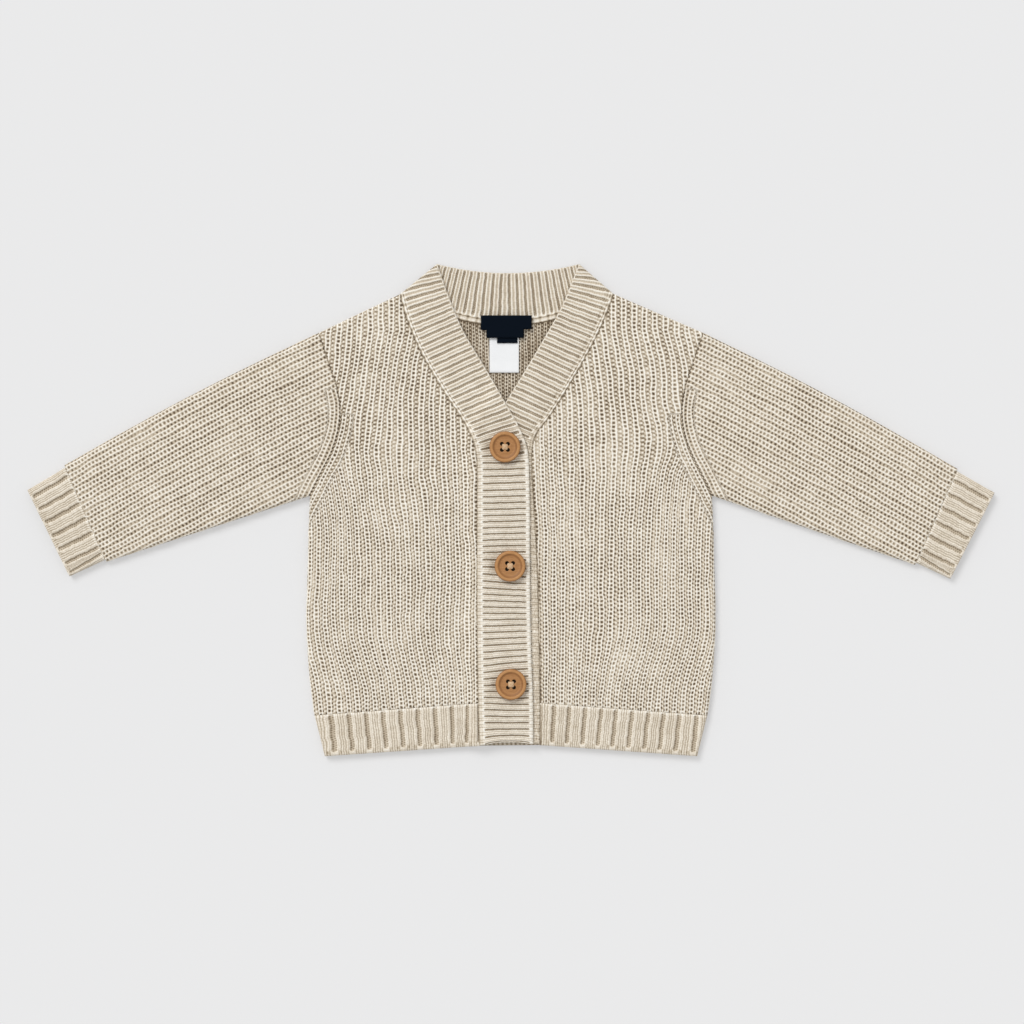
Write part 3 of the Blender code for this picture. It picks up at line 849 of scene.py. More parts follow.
def plain_side(pattern, stitch_of, step=COARSE_STEP, window=None):
    """A side with few points and no relief, on which the same stitches are drawn."""
    low, high = pattern.line.min(axis=0), pattern.line.max(axis=0)
    points = np.column_stack(pairings(np.arange(low[0], high[0], step), np.arange(low[1], high[1], step)))
    if window is not None:
        points = points[~window(points)]
    stitch, wear = stitch_of(points)
    return points, stitch, np.zeros(len(points)), wear


# The hidden inner faces of tubes: plain stitches, with full painted shade.
INNER_WEAR = (0.5, 0.5, 1.0)  # plain and shaded


def add_tube(name, pattern, upper, lower, height, base, inner_rings):
    """A flat tube of cloth, open at both ends. inner_rings are the inner face's sections, from end to end."""
    cloth = Cloth(name)
    top, flat = cloth.add_side(pattern, upper, height)
    shift = (0.0, -pattern.size()[1] - APART)
    low, _ = cloth.add_side(pattern, lower, base, face_up=False, shift=shift)
    joined = abs(cloth.place_of(top)[:, 2] - cloth.place_of(low)[:, 2]) < JOINED_WITHIN
    cloth.same.update(zip(top[joined].tolist(), low[joined].tolist()))

    blank = np.zeros((len(inner_rings[0]), 3))
    stitch, wear = blank + (0.0, 0.0, FAR_OFF), blank + INNER_WEAR
    rings = [cloth.add_points(ring, stitch, wear) for ring in inner_rings]
    turns = np.arange(len(blank))
    ahead = np.roll(turns, -1)
    corner = flat.min(axis=0) - (0.0, HIDDEN_PATCH + 2.0)
    for a, b in zip(rings, rings[1:]):
        faces = np.column_stack((a + turns, b + turns, b + ahead, a + ahead))
        cloth.add_faces(faces, inner_flat(faces, corner))
    for run in open_runs(joined):
        before, after = (run[0] - 1) % len(top), (run[-1] + 1) % len(top)
        mouth = np.concatenate(([top[before]], top[run], [top[after]], low[run][::-1]))
        ends = middle_of(cloth, mouth)
        ring, other = rings[0] + turns, rings[-1] + turns
        if math.dist(middle_of(cloth, other), ends) < math.dist(middle_of(cloth, ring), ends):
            ring, other = other, ring
        faces = zipped(cloth, mouth, ring, ends - middle_of(cloth, other))
        cloth.add_faces(faces, inner_flat(faces, corner))
    return cloth


def middle_of(cloth, numbers):
    return cloth.place_of(numbers).mean(axis=0)


def inner_flat(faces, corner):
    """Hidden faces share one small place on the flat pattern."""
    spot = HIDDEN_PATCH * np.array(((0.0, 0.0), (1.0, 0.0), (1.0, 1.0), (0.0, 1.0)))[:faces.shape[1]]
    return np.broadcast_to(corner + spot, (len(faces), *spot.shape))


def open_runs(joined):
    """The stretches of a closed outline where the two sides aren't joined."""
    start = int(np.argmax(joined))
    order = (np.arange(len(joined)) + start) % len(joined)
    runs, run = [], []
    for i in order:
        if joined[i]:
            if run:
                runs.append(np.array(run))
            run = []
        else:
            run.append(i)
    return runs + ([np.array(run)] if run else [])


def zipped(cloth, outer, inner, out):
    """Triangles between two closed loops of points, facing out."""

    def shares(numbers):
        places = cloth.place_of(numbers)
        far = lengths(np.vstack((places, places[:1])))
        return far / far[-1]

    start = int(norms(cloth.place_of(inner) - cloth.place_of(outer[:1])).argmin())
    inner = np.roll(inner, -start)
    ahead = cloth.place_of(outer[[len(outer) // 4]])
    quarter = len(inner) // 4
    both = cloth.place_of(inner[[quarter, -quarter]])
    if np.linalg.norm(both[1] - ahead) < np.linalg.norm(both[0] - ahead):
        inner = np.concatenate((inner[:1], inner[:0:-1]))
    a_share, b_share = shares(outer), shares(inner)
    a = b = 0
    faces = []
    while a < len(outer) or b < len(inner):
        here, there = outer[a % len(outer)], inner[b % len(inner)]
        if b == len(inner) or (a < len(outer) and a_share[a + 1] <= b_share[b + 1]):
            faces.append((here, outer[(a + 1) % len(outer)], there))
            a += 1
        else:
            faces.append((here, inner[(b + 1) % len(inner)], there))
            b += 1
    faces = np.array(faces)
    p, q, r = (cloth.place_of(faces[:, k]) for k in range(3))
    facing = np.cross(q - p, r - p).sum(axis=0) @ out
    return faces if facing > 0.0 else faces[:, ::-1]


# ---------------------------------------------------------------- knitting


LINE_RELIEF = 0.42  # how proud the strands between two wales stand
HOLE_RELIEF = 0.8
CAP_RELIEF = 0.38
COVERED_WEAR = (0.95, 0.85, 0.0)  # even stitches, where another layer covers them


def knit_wear(u, v, seed):
    """How open the holes and how crisp the stitches are, from place to place."""
    patch = drift(u * 6.0, v * 2.6, 16.0, seed + 1)
    column = drift(np.round(u * 2.0) * 3.7, v, 9.0, seed)
    single = drift(np.round(u * 2.0) * 2.3, v, 1.1, seed + 3)
    hole = np.clip(0.92 + 0.25 * column + 0.15 * patch + 0.34 * single, 0.25, 1.35)
    half = drift(np.floor(u * 2.0) * 2.9, v, 0.9, seed + 4)
    run = drift(np.round(u) * 5.1, v, 10.0, seed + 2)
    cap = np.clip(0.85 + 0.35 * run + 0.25 * patch + 0.2 * single + 0.4 * half, 0.1, 1.5)
    return hole, cap


def wander(u, v, seed):
    """Small leanings of the wales and rows."""
    sway = 0.07 * drift(u * 2.0, v * 0.35, 1.6, seed) + 0.05 * drift(u * 2.0, v, 1.2, seed + 1)
    rise = 0.16 * drift(u * 1.5, v * 0.3, 1.3, seed + 2) + 0.08 * drift(u * 3.0, v, 1.0, seed + 3)
    return u + sway, v + rise


def lace_knit(points, u, v, seed, drawing=lace):
    """A side of open knit, for points with their wale and course numbers."""
    su, sv = wander(u, v, seed)
    hole_wear, cap_wear = knit_wear(u, v, seed + 7)
    hole, cap, line = drawing(su, sv)
    relief = LINE_RELIEF * line - HOLE_RELIEF * hole * hole_wear - CAP_RELIEF * cap * cap_wear
    stitch = np.column_stack((su, sv, np.full(len(u), FAR_OFF)))
    return points, stitch, relief, np.column_stack((hole_wear, cap_wear, np.zeros(len(u))))


def lace_drawn(wale, course):
    """The open knit on a side with few points."""

    def stitch_of(points):
        stitch = np.column_stack((points / (wale, course), np.full(len(points), FAR_OFF)))
        return stitch, np.ones((len(points), 3)) * COVERED_WEAR

    return stitch_of


def net(low, high, wale_steps=WALE_STEPS):
    """Wale and course numbers of a net of points."""
    steps = np.array((wale_steps, COURSE_STEPS))
    first, last = np.floor(np.array(low) * steps), np.ceil(np.array(high) * steps)
    return pairings(*(np.arange(a, b + 1) / step for a, b, step in zip(first, last, steps)))


def lengthened(line, more=25.0):
    """A line with both its ends drawn out straight."""
    ends = [a + (a - b) / math.dist(a, b) * more for a, b in ((line[0], line[1]), (line[-1], line[-2]))]
    return np.vstack((ends[0], line, ends[1]))


def seam_strip(line, wales, wale, course, way):
    """Wales that run along a seam: plan points, wale numbers and course numbers. way is +1 to the left."""
    far = lengths(line)
    count = int(far[-1] / course * COURSE_STEPS)
    places = np.linspace(0.0, far[-1], count + 1)
    across = np.arange(0.0, wales + 1e-6, 1.0 / WALE_STEPS)
    ahead = unit(np.gradient(line, axis=0))
    aside = np.column_stack((-ahead[:, 1], ahead[:, 0])) * way
    spots, ways = (read_off(part, far, places) for part in (line, aside))
    points = spots[:, None, :] + ways[:, None, :] * across[None, :, None] * wale
    u, v = np.broadcast_arrays(across[None, :], (places / course)[:, None])
    return points.reshape(-1, 2), u.ravel() + 0.5, v.ravel()


CLEARANCE = 0.4  # between the points of a strip and those of the net that it is let into


def joined_net(base, strips, course):
    """One net from a base and strips along seams. Each strip is (line, wales, wale, way, allowed)."""
    points, u, v = base
    free = np.ones(len(points), bool)
    rows, done = [], []
    for line, wales, wale, way, allowed in strips:
        line = lengthened(respaced(line, 1.0))
        spots, su, sv = seam_strip(line, wales, wale, course, way)
        kept = allowed(spots)
        for other, width in done:
            kept &= nearest(spots, other)[0] > width + CLEARANCE
        rows.append((spots[kept], su[kept], sv[kept]))
        free &= ~((nearest(points, line)[0] < wales * wale + CLEARANCE) & allowed(points))
        done.append((line, wales * wale))
    rows.append((points[free], u[free], v[free]))
    return [np.concatenate(part) for part in zip(*rows)]


# ---------------------------------------------------------------- ribs


# groove is half a groove's width, as a share of the distance to the next one, and rim is how far from its
# middle it is rimmed, in such halves. wales is the number of wales in a rib. depth is how deep a groove
# lies, shade how dark the painted shade in it is, and lines how dark the painted shade of the lines between
# two wales is. Nearer to the seam or the edge than the margin, a groove narrows, and it closes within the
# reach.
Ribbing = namedtuple(
    "Ribbing", "groove wales rim depth lines shade seam_margin seam_reach edge_margin edge_reach")
PLACKET = Ribbing(0.14, 2, 1.5, 0.8, 0.22, 0.44, 4.4, 0.9, 3.0, 0.7)
UNDER_PLACKET = PLACKET._replace(seam_margin=5.6)
NECK_BAND = Ribbing(0.18, 1, 1.55, 0.85, 0.24, 0.33, 4.4, 2.4, 1.3, 0.7)
HEM = Ribbing(0.155, 5, 1.4, 0.9, 0.28, 0.23, 1.8, 1.3, 3.7, 1.3)
CUFF = Ribbing(0.155, 5, 1.4, 0.9, 0.28, 0.25, 1.4, 1.2, 2.4, 1.1)
BACK_NECK = Ribbing(0.17, 1, 1.55, 0.85, 0.24, 0.36, 6.2, 1.6, 0.9, 0.6)


def rib_relief(knit, make):
    """How proud each place of the ribbing stands."""
    proud = 0.12 * knit.rim + 0.1
    return proud - 0.25 * knit.furrow - 0.1 * knit.bead - make.depth * knit.hollow - 0.15 * knit.purl


def rib_knit(points, u, v, w, make, seed):
    """A side of ribbing, for points with their rib numbers and distances from the two edges."""
    u = u + 0.03 * drift(u, v, 3.0, seed) + 0.02 * drift(u * 2.0, v, 1.5, seed + 1)
    relief = rib_relief(ribs(u, v, w, make), make) + 0.08 * drift(u * 3.0, v, 2.0, seed + 3)
    wear = np.column_stack((np.ones(len(u)), 0.5 + 0.5 * drift(u * 3.0, v, 3.0, seed + 5), np.zeros(len(u))))
    return points, np.column_stack((u, v, w)), relief, wear


def rib_net(first, last, rib_at, make, seed, steps=10, across_step=0.8):
    """Ribs between a seam line and an edge line with matching points. rib_at is each point's rib number."""
    width = norms(last - first)
    number = np.linspace(rib_at[0], rib_at[-1], int((rib_at[-1] - rib_at[0]) * steps) + 1)
    place = np.interp(number, rib_at, np.arange(len(first)))
    reach = int(width.max() / across_step)
    share = np.linspace(0.0, 1.0, reach + 1)
    place, share = pairings(place, share)
    numbers = np.tile(number, reach + 1)
    wide = np.interp(place, np.arange(len(width)), width)
    points = mix(at_rows(first, place), at_rows(last, place), share[:, None])
    return rib_knit(points, numbers, share * wide, (1.0 - share) * wide, make, seed)


def rib_drawn(knit):
    """The same ribs on a side with few points: every point takes its nearest neighbour's place."""
    source, stitch, _, wear = knit

    def stitch_of(points):
        beside = nearest_points(points, source)
        return stitch[beside], wear[beside]

    return stitch_of


# ---------------------------------------------------------------- body


ARMHOLE = smooth_line(SIDE[:UNDERARM_ROW + 1])
SIDE_SEAM = smooth_line(SIDE[UNDERARM_ROW:HEM_ROW + 2])
ARM_STRIP = 1.5  # wales that run along the lower armhole
FRONT_STRIP_WALE = 5.2
SLEEVE_STRIP_WALE = 5.0
LOW_ARM = 62.0  # they end here on the body, and a little higher on the sleeve
SLEEVE_LOW_ARM = 78.0


def side_x(y):
    """Half the width of the body at a height."""
    return crossing(np.vstack((ARMHOLE, SIDE_SEAM[1:])), y)


def mirrored(line, side):
    return np.asarray(line, float) * (side, 1.0)


def straight(*points):
    return np.array(points, float)


CHART_STEP = 2.0  # the charted wales are read at even heights
CHART_END = 170.0
MORE_WALES = 4.0  # beyond the charted ones on each side


def wale_chart(word):
    """The rows of holes at even heights: wale numbers, heights, and x by height and wale."""
    chart = WALES[word]
    rows = np.array(chart["rows"])
    numbers = np.array(chart["numbers"], float)
    before = rows[:, 1] - MORE_WALES * (rows[:, 2] - rows[:, 1]) / (numbers[1] - numbers[0])
    after = rows[:, -1] + MORE_WALES * (rows[:, -1] - rows[:, -2]) / (numbers[-1] - numbers[-2])
    numbers = np.concatenate(([numbers[0] - MORE_WALES], numbers, [numbers[-1] + MORE_WALES]))
    table = np.column_stack((before, rows[:, 1:], after))
    heights = np.arange(-CHART_END, CHART_END + CHART_STEP, CHART_STEP)
    curves = [smooth_line(np.column_stack((column, rows[:, 0]))) for column in table.T]
    return numbers, heights, np.array([crossing(curve, heights) for curve in curves]).T


def front_net(word):
    """Points of a front's stitches: they lie on the charted wales."""
    numbers, heights, chart = wale_chart(word)
    course = COURSE[word]
    u, v = net((numbers[0], KNIT_LOW / course), (numbers[-1], KNIT_HIGH / course))
    y = v * course
    row = np.clip((y - heights[0]) / CHART_STEP, 0.0, len(heights) - 1.001)
    low = row.astype(int)
    at = np.clip(np.searchsorted(numbers, u, side="right") - 1, 0, len(numbers) - 2)
    share = (u - numbers[at]) / (numbers[at + 1] - numbers[at])
    x = np.zeros(len(u))
    for level, weight in ((low, 1.0 - (row - low)), (low + 1, row - low)):
        x += weight * mix(chart[level, at], chart[level, at + 1], share)
    return np.column_stack((x, y)), u, v


SIDE_ROLL = 2.3  # of the body's side seams
SIDE_EDGE = (SIDE_ROLL, 0.0)
SHOULDER_ROLL = 2.0
ARMHOLE_ROLL = 0.6
# painted shade along the armhole seam
ARMHOLE_SHADE = 0.45
HEM_ROLL = 0.3
BAND_SEAM_ROLL = 0.4
# painted shade along the seam beside the V
V_SEAM_SHADE = 0.45
V_FOOT = 30.0


def front_pattern(band, side, band_painted_shade):
    """Outline of a front, with the inner edge on the band's seam. band_painted_shade is the painted shade
    along the seam below the V.
    """
    seam = smooth_line(band[:HEM_ROW + 1, :2]) + (side * SEAM, 0.0)
    seam[-1, 1] += SEAM
    hem_corner = (side * SIDE[HEM_ROW, 0], SIDE[HEM_ROW, 1] + SEAM)
    side_line = SIDE_SEAM[SIDE_SEAM[:, 1] > hem_corner[1]]
    low = seam[:, 1] < V_FOOT
    return Pattern([
        (seam[~low], BAND_SEAM_ROLL, V_SEAM_SHADE),
        (np.vstack((seam[~low][-1:], seam[low])), BAND_SEAM_ROLL, band_painted_shade),
        (straight(seam[-1], hem_corner), HEM_ROLL),
        (np.vstack((hem_corner, mirrored(side_line[::-1], side))), SIDE_ROLL),
        (mirrored(ARMHOLE[::-1], side), ARMHOLE_ROLL, ARMHOLE_SHADE),
        (straight(mirrored(SIDE[0], side), seam[0]), SHOULDER_ROLL),
    ])


def low_on_arm(spots, end=LOW_ARM):
    return spots[:, 1] < end


def add_front(word, band, side, height, band_painted_shade, seed):
    pattern = front_pattern(band, side, band_painted_shade)
    course = COURSE[word]
    points, u, v = joined_net(front_net(word), [
        (mirrored(ARMHOLE, side), ARM_STRIP, FRONT_STRIP_WALE, -side, low_on_arm),
    ], course)
    under = plain_side(pattern, lace_drawn(WALE, course))
    cloth = add_panel(word + "_front_knit", pattern, lace_knit(points, u, v, seed), under, height)
    piece = cloth.finish(finishes["oatmeal_knit"])
    laid(piece, word + "_front_panel", "oatmeal_knit", pattern)


def laid(piece, node, slot, pattern, layers=1, grain=(0.0, 1.0), strip=None):
    """Hangs the piece on the root body and hides its solid, and works out the width and length of its flat
    pattern but keeps neither.

    strip holds the two sides of one that is knitted as a straight strip and laid in a bend.
    """
    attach(piece, "root")
    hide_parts(node)
    width, length = (float(part) * MM for part in pattern.size(grain))
    if strip:
        length = 0.5 * sum(float(norms(np.diff(side, axis=0)).sum()) for side in strip) * MM
        width = pattern.area * MM * MM / length
    width * layers
    pattern.area * layers * MM * MM


# Their second number is painted shade along the neck's seam.
NECK_SEAM_EDGE = (0.5, 0.8)  # the roll and shade of the two edges that meet in the neck's seam


def neck_curve(first, last, dip, reach=0.0):
    """The curve that hangs between two points at one height, and may run on past them."""
    share = np.linspace(-reach, 1.0 + reach, 60)
    bow = 1.0 - (2.0 * share - 1.0) ** 2
    return np.column_stack((mix(first[0], last[0], share), mix(first[1], last[1], share) - dip * bow))


NECK_SEAM = neck_curve(BUTTONHOLE_BAND[0, :2], BUTTON_BAND[0, :2], NECK_SEAM_DIP)
NECK_EDGE = neck_curve(BUTTONHOLE_BAND[0, 2:], BUTTON_BAND[0, 2:], NECK_EDGE_DIP)
HEM_TOP = straight(
    (-SIDE[HEM_ROW, 0], SIDE[HEM_ROW, 1]), BUTTONHOLE_BAND[HEM_ROW, :2],
    BUTTON_BAND[HEM_ROW, :2], (SIDE[HEM_ROW, 0], SIDE[HEM_ROW, 1]))
HEM_FOOT = straight(
    (-SIDE[-1, 0], SIDE[-1, 1]), BUTTONHOLE_BAND[-1, :2] - (0.0, HEM_DROP),
    BUTTON_BAND[-1, :2] - (0.0, HEM_DROP), (SIDE[-1, 0], SIDE[-1, 1]))


ARM_HEIGHTS = (-10.0, 30.0)  # where the back's wales come to lean with the armhole
ARM_REACH = (70.0, 122.0)
DRAWN_IN = (-70.0, -135.0)  # heights between which they draw in to the hem


def back_plan(u, v):
    """Where a stitch of the back lies: the wales lean with the armhole and draw in to the hem."""
    x = u * WALE
    y = v * COURSE["back"]
    out = abs(x)
    narrow = CHEST - side_x(y)
    at_arm = ease(y, *ARM_HEIGHTS) * ease(out, *ARM_REACH)
    at_hem = ease(y, *DRAWN_IN) * out / CHEST
    return np.column_stack((np.sign(x) * (out - narrow * (0.5 * at_arm + at_hem)), y))


INNER_WALE = 4.2  # the back's inner face is closer knit where the neck shows it
INNER_COURSE = 2.35
BACK_WALES = 26.0  # on each side of the middle
NECK_MIDDLE = -3.0
NECK_SLOPE = 0.6
NECK_POINT = 40.0
NECK_SHOWN = 48.0
NECK_REACH = 60.0
NECK_FOOT = 45.0
NECK_TOP = 145.0


def in_neck(spots):
    """Whether the V of the neck shows the place on the back."""
    aside, up = abs(spots[:, 0] - NECK_MIDDLE), spots[:, 1]
    return (aside < NECK_SLOPE * (up - NECK_POINT)) & (up > NECK_SHOWN)


def add_back(seed):
    hem = HEM_TOP + (0.0, SEAM)
    neck = NECK_SEAM - (0.0, SEAM)
    side_line = SIDE_SEAM[SIDE_SEAM[:, 1] > hem[0, 1]]
    pattern = Pattern([
        (straight(mirrored(SIDE[0], -1.0), neck[0]), SHOULDER_ROLL),
        (neck, *NECK_SEAM_EDGE),
        (straight(neck[-1], SIDE[0]), SHOULDER_ROLL),
        (ARMHOLE, ARMHOLE_ROLL, ARMHOLE_SHADE),
        (np.vstack((side_line, hem[-1:])), SIDE_ROLL),
        (hem[::-1], HEM_ROLL),
        (np.vstack((hem[:1], mirrored(side_line[::-1], -1.0))), SIDE_ROLL),
        (mirrored(ARMHOLE[::-1], -1.0), ARMHOLE_ROLL, ARMHOLE_SHADE),
    ])
    course = COURSE["back"]
    u, v = net((-BACK_WALES, KNIT_LOW / course), (BACK_WALES, KNIT_HIGH / course), BACK_WALE_STEPS)
    points, u, v = joined_net((back_plan(u, v), u, v), [
        (ARMHOLE, ARM_STRIP, WALE, -1.0, low_on_arm),
        (mirrored(ARMHOLE, -1.0), ARM_STRIP, WALE, 1.0, low_on_arm),
    ], course)
    outside = lace_knit(points, u, v, seed)

    coarse = plain_side(pattern, lace_drawn(WALE, course), window=in_neck)
    reach = NECK_REACH / INNER_WALE
    u, v = net((-reach, NECK_FOOT / INNER_COURSE), (reach, NECK_TOP / INNER_COURSE))
    points = np.column_stack((u * INNER_WALE + NECK_MIDDLE, v * INNER_COURSE))
    shown = in_neck(points)
    fine = lace_knit(points[shown], u[shown], v[shown], seed + 3)
    # The inner face that the V shows is darker: partly the wrong side's own closer knit, partly painted
    # shade, as it lies below the fronts.
    fine[3][:, 2] = 0.5 + 0.18 * drift(points[shown, 0], points[shown, 1], 7.0, seed + 4)
    inside_knit = [np.concatenate(pair) for pair in zip(fine, coarse)]
    cloth = add_panel("back_knit", pattern, inside_knit, outside, back_top, rolled="lower")
    laid(cloth.finish(finishes["oatmeal_knit"]), "back_panel", "oatmeal_knit", pattern)


# ---------------------------------------------------------------- bands and hems


BAND_FOOT = (  # how far the ends of a band's foot hang, by the share across it
    (0.0, 0.1, 0.25, 0.4, 0.7, 0.85, 0.95, 1.0),
    (1.9, 1.6, 0.5, 0.0, 0.1, 0.6, 1.3, 1.6),
)
FOOT_HANGS = (-138.0, -149.0)  # heights between which a band comes to hang so
BAND_WIDENS = (28.0, 70.0)  # heights between which its ribs change to those beside the V
EDGE_DROOP = 0.3  # how far its free edge droops below the V, and how near the edge
EDGE_DROOP_REACH = (2.0, 0.2)
PULL_BOW = 0.7  # a button's pull on the ribs round it
PULL_SPREAD = 8.0
PULL_REACH = 12.0
CREASE_PLACE = 10.6  # just past a button's rim
# radius of the painted shade under a button
PAINTED_SHADE_UNDER_BUTTON = 5.2


def band_foot(points, seam, edge):
    """How much lower a place hangs than on a straight band."""
    share = (points[:, 0] - seam[-1, 0]) / (edge[-1, 0] - seam[-1, 0])
    return np.interp(share, *BAND_FOOT) * ease(points[:, 1], *FOOT_HANGS)


def band_make(points):
    """The band's ribs at each place: beside the V they are wider and their grooves broader."""
    up = ease(points[:, 1], *BAND_WIDENS)
    return Ribbing(*(mix(low, high, up) for low, high in zip(PLACKET, NECK_BAND))), up


def pulled_by_buttons(points):
    """The ribs bow a little round each button; the cloth dips under it and creases beside it; painted shade
    lies in both.
    """
    bow, dip, shade = np.zeros((3, len(points)))
    for button in BUTTONS:
        away = points - (button.x, button.y)
        far = norms(away)
        bow += PULL_BOW * away[:, 1] / PULL_SPREAD * bell(far, PULL_REACH)
        creases = bell(abs(away[:, 0]) - CREASE_PLACE, 2.2) * bell(away[:, 1], 4.0)
        dip += 0.3 * bell(far, PULL_REACH) + 0.7 * creases
        # Painted shade under the button darkens what its holes show, and more painted shade follows the dip
        # and creases.
        shade += 2.0 * plateau(far, PAINTED_SHADE_UNDER_BUTTON)
    return bow, dip, shade + 0.45 * dip


def add_band(word, name, band, height, finish, seed):
    seam, edge = (smooth_line(part, 1.0) for part in (band[:, :2], band[:, 2:]))
    grooves = BAND_GROOVES[word]
    rib_at = np.linspace(grooves[0, 0], grooves[-1, 0], 400)
    heights = read_off(grooves[:, 1:], grooves[:, 0], rib_at).T
    start, end = (
        np.column_stack((crossing(lengthened(line), y), y)) for line, y in zip((seam, edge), heights))
    points, stitch, _, wear = rib_net(start, end, rib_at, PLACKET, seed)
    make, up = band_make(points)
    bow, dip, shade = pulled_by_buttons(points)
    droop = EDGE_DROOP * (1.0 - up) * ease(stitch[:, 2], *EDGE_DROOP_REACH)
    relief = rib_relief(ribs(*stitch.T, make), make) - dip - droop
    points = points + np.outer(bow - band_foot(points, seam, edge), (0.0, 1.0))
    # The third number is the buttons' painted shade.
    wear = np.column_stack((up, wear[:, 1], shade))
    share = np.linspace(0.0, 1.0, 30)
    foot = mix(seam[-1], edge[-1], share[:, None])
    foot[:, 1] -= np.interp(share, *BAND_FOOT)
    # Its seam side has painted shade along it.
    pattern = Pattern([
        (np.vstack((seam[:-1], foot[:1])), 0.45, 0.3), (foot, 1.0),
        (np.vstack((foot[-1:], edge[:-1][::-1])), 1.0), (straight(edge[0], seam[0]), 1.6),
    ])
    knit = points, stitch, relief, wear
    under = plain_side(pattern, rib_drawn(knit))
    cloth = add_panel(name + "_knit", pattern, knit, under, height)
    laid(cloth.finish(finishes[finish]), name, "oatmeal_rib", pattern, strip=(seam, edge))


def add_neckband(seed):
    """Its ribs stand nearly upright, spreading a little towards the seam."""
    number = np.linspace(0.0, len(NECK_GROOVES) - 1.0, 160)
    edge_x, seam_x = at_rows(NECK_GROOVES, number).T
    edge_curve = neck_curve(BUTTONHOLE_BAND[0, 2:], BUTTON_BAND[0, 2:], NECK_EDGE_DIP, reach=0.5)
    seam_curve = neck_curve(BUTTONHOLE_BAND[0, :2], BUTTON_BAND[0, :2], NECK_SEAM_DIP, reach=0.5)
    edge = np.column_stack((edge_x, np.interp(edge_x, *edge_curve.T)))
    seam = np.column_stack((seam_x, np.interp(seam_x, *seam_curve.T)))
    knit = rib_net(seam, edge, number, BACK_NECK, seed)
    pattern = Pattern([
        (NECK_SEAM, *NECK_SEAM_EDGE), (straight(NECK_SEAM[-1], NECK_EDGE[-1]), 0.5),
        (NECK_EDGE[::-1], 1.2), (straight(NECK_EDGE[0], NECK_SEAM[0]), 0.5),
    ])
    cloth = add_panel("back_neckband_knit", pattern, knit, knit, back_top, rolled="both")
    sides = NECK_SEAM, NECK_EDGE
    laid(cloth.finish(finishes["neck_rib"]), "back_neckband", "oatmeal_rib", pattern, strip=sides)


PEEP_REACH = 21.0  # on each side of the middle
PEEP_LOW = -153.0
PEEP_HIGH = -146.5
PEEP_STEP = 0.5
CAST_ON_PITCH = 2.8


def cast_on_peeping(side):
    """The back hem's cast-on loops, where they peep out under the bands' foot."""
    x, y = pairings(
        np.arange(-PEEP_REACH, PEEP_REACH + 1.0, PEEP_STEP), np.arange(PEEP_LOW, PEEP_HIGH, PEEP_STEP))
    points = np.column_stack((x, y))
    loops = bell(centred(x / CAST_ON_PITCH + y * 0.06), 0.24)
    stitch = np.zeros((len(x), 3)) + (0.35, 20.0, 20.0)
    # Painted shade in the gaps between the loops, over painted light that lifts the strip out of the shade
    # under the bands' foot.
    wear = np.column_stack((np.ones(len(x)), np.zeros(len(x)), 0.7 * loops - 0.4))
    taken = (abs(side[0][:, 0]) < PEEP_REACH + 1.0) & (side[0][:, 1] < PEEP_HIGH + PEEP_STEP)
    coarse = [part[~taken] for part in side]
    return [np.concatenate(pair) for pair in zip((points, stitch, -0.3 * loops, wear), coarse)]


def add_hem(name, grooves, pattern_top, pattern_foot, height, rolled, ends, seed, narrow=None):
    """A hem rib between its top line and its cast-on edge. ends are the roll and painted seam shade of its
    two sides.

    narrow is the number of a groove that is squeezed to half its width.
    """
    number = np.linspace(0.0, len(grooves) - 1.0, 16 * len(grooves))
    foot_x, lean = at_rows(grooves, number).T
    top_x = foot_x + lean
    foot = np.column_stack((foot_x, np.interp(foot_x, *HEM_FOOT.T)))
    top = np.column_stack((top_x, np.interp(top_x, *HEM_TOP.T)))
    if narrow is not None:
        number = number + 1.2 * (number - narrow) * bell(number - narrow, 0.35)
    knit = rib_net(top, foot, number, HEM, seed, HEM_STEPS, RING_STEP)
    pattern = Pattern([
        (pattern_top, HEM_ROLL), (straight(pattern_top[-1], pattern_foot[-1]), *ends[1]),
        (pattern_foot[::-1], 1.3), (straight(pattern_foot[0], pattern_top[0]), *ends[0]),
    ])
    hidden = plain_side(pattern, rib_drawn(knit))
    if rolled == "lower":
        hidden = cast_on_peeping(hidden)
    sides = (knit, hidden) if rolled == "upper" else (hidden, knit)
    cloth = add_panel(name + "_knit", pattern, *sides, height, rolled=rolled)
    laid(cloth.finish(finishes["hem_rib"]), name, "oatmeal_rib", pattern)


# ---------------------------------------------------------------- sleeves and cuffs


def sleeve_plan(word, share, station):
    """A place on the wearer's left sleeve: share from the top fold down, station from the armhole out."""
    joint = CUFF_JOINT[word]
    y = mix(SIDE[0, 1], SIDE[UNDERARM_ROW, 1], share)
    armhole = np.stack((crossing(ARMHOLE, y) + SEAM, y), axis=-1)
    share, station = np.asarray(share)[..., None], np.asarray(station)[..., None]
    bow = SLEEVE_BOW * np.sin(math.pi * station) * (1.0 - share)
    return mix(armhole, mix(joint[0], joint[1], share), station) + bow * (0.0, 1.0)


def cuff_plan(word, share, station):
    joint, end = CUFF_JOINT[word], CUFF_END[word]
    share, station = np.asarray(share)[..., None], np.asarray(station)[..., None]
    tuck = CUFF_TUCK / math.dist(*joint)
    reach = mix(SEAM / math.dist(joint[0], end[0]), 1.0, station)
    start = mix(joint[0], joint[1], mix(tuck, 1.0 - tuck, share))
    return mix(start, mix(end[0], end[1], share), reach)


TUBE_END_ROLL = 0.6


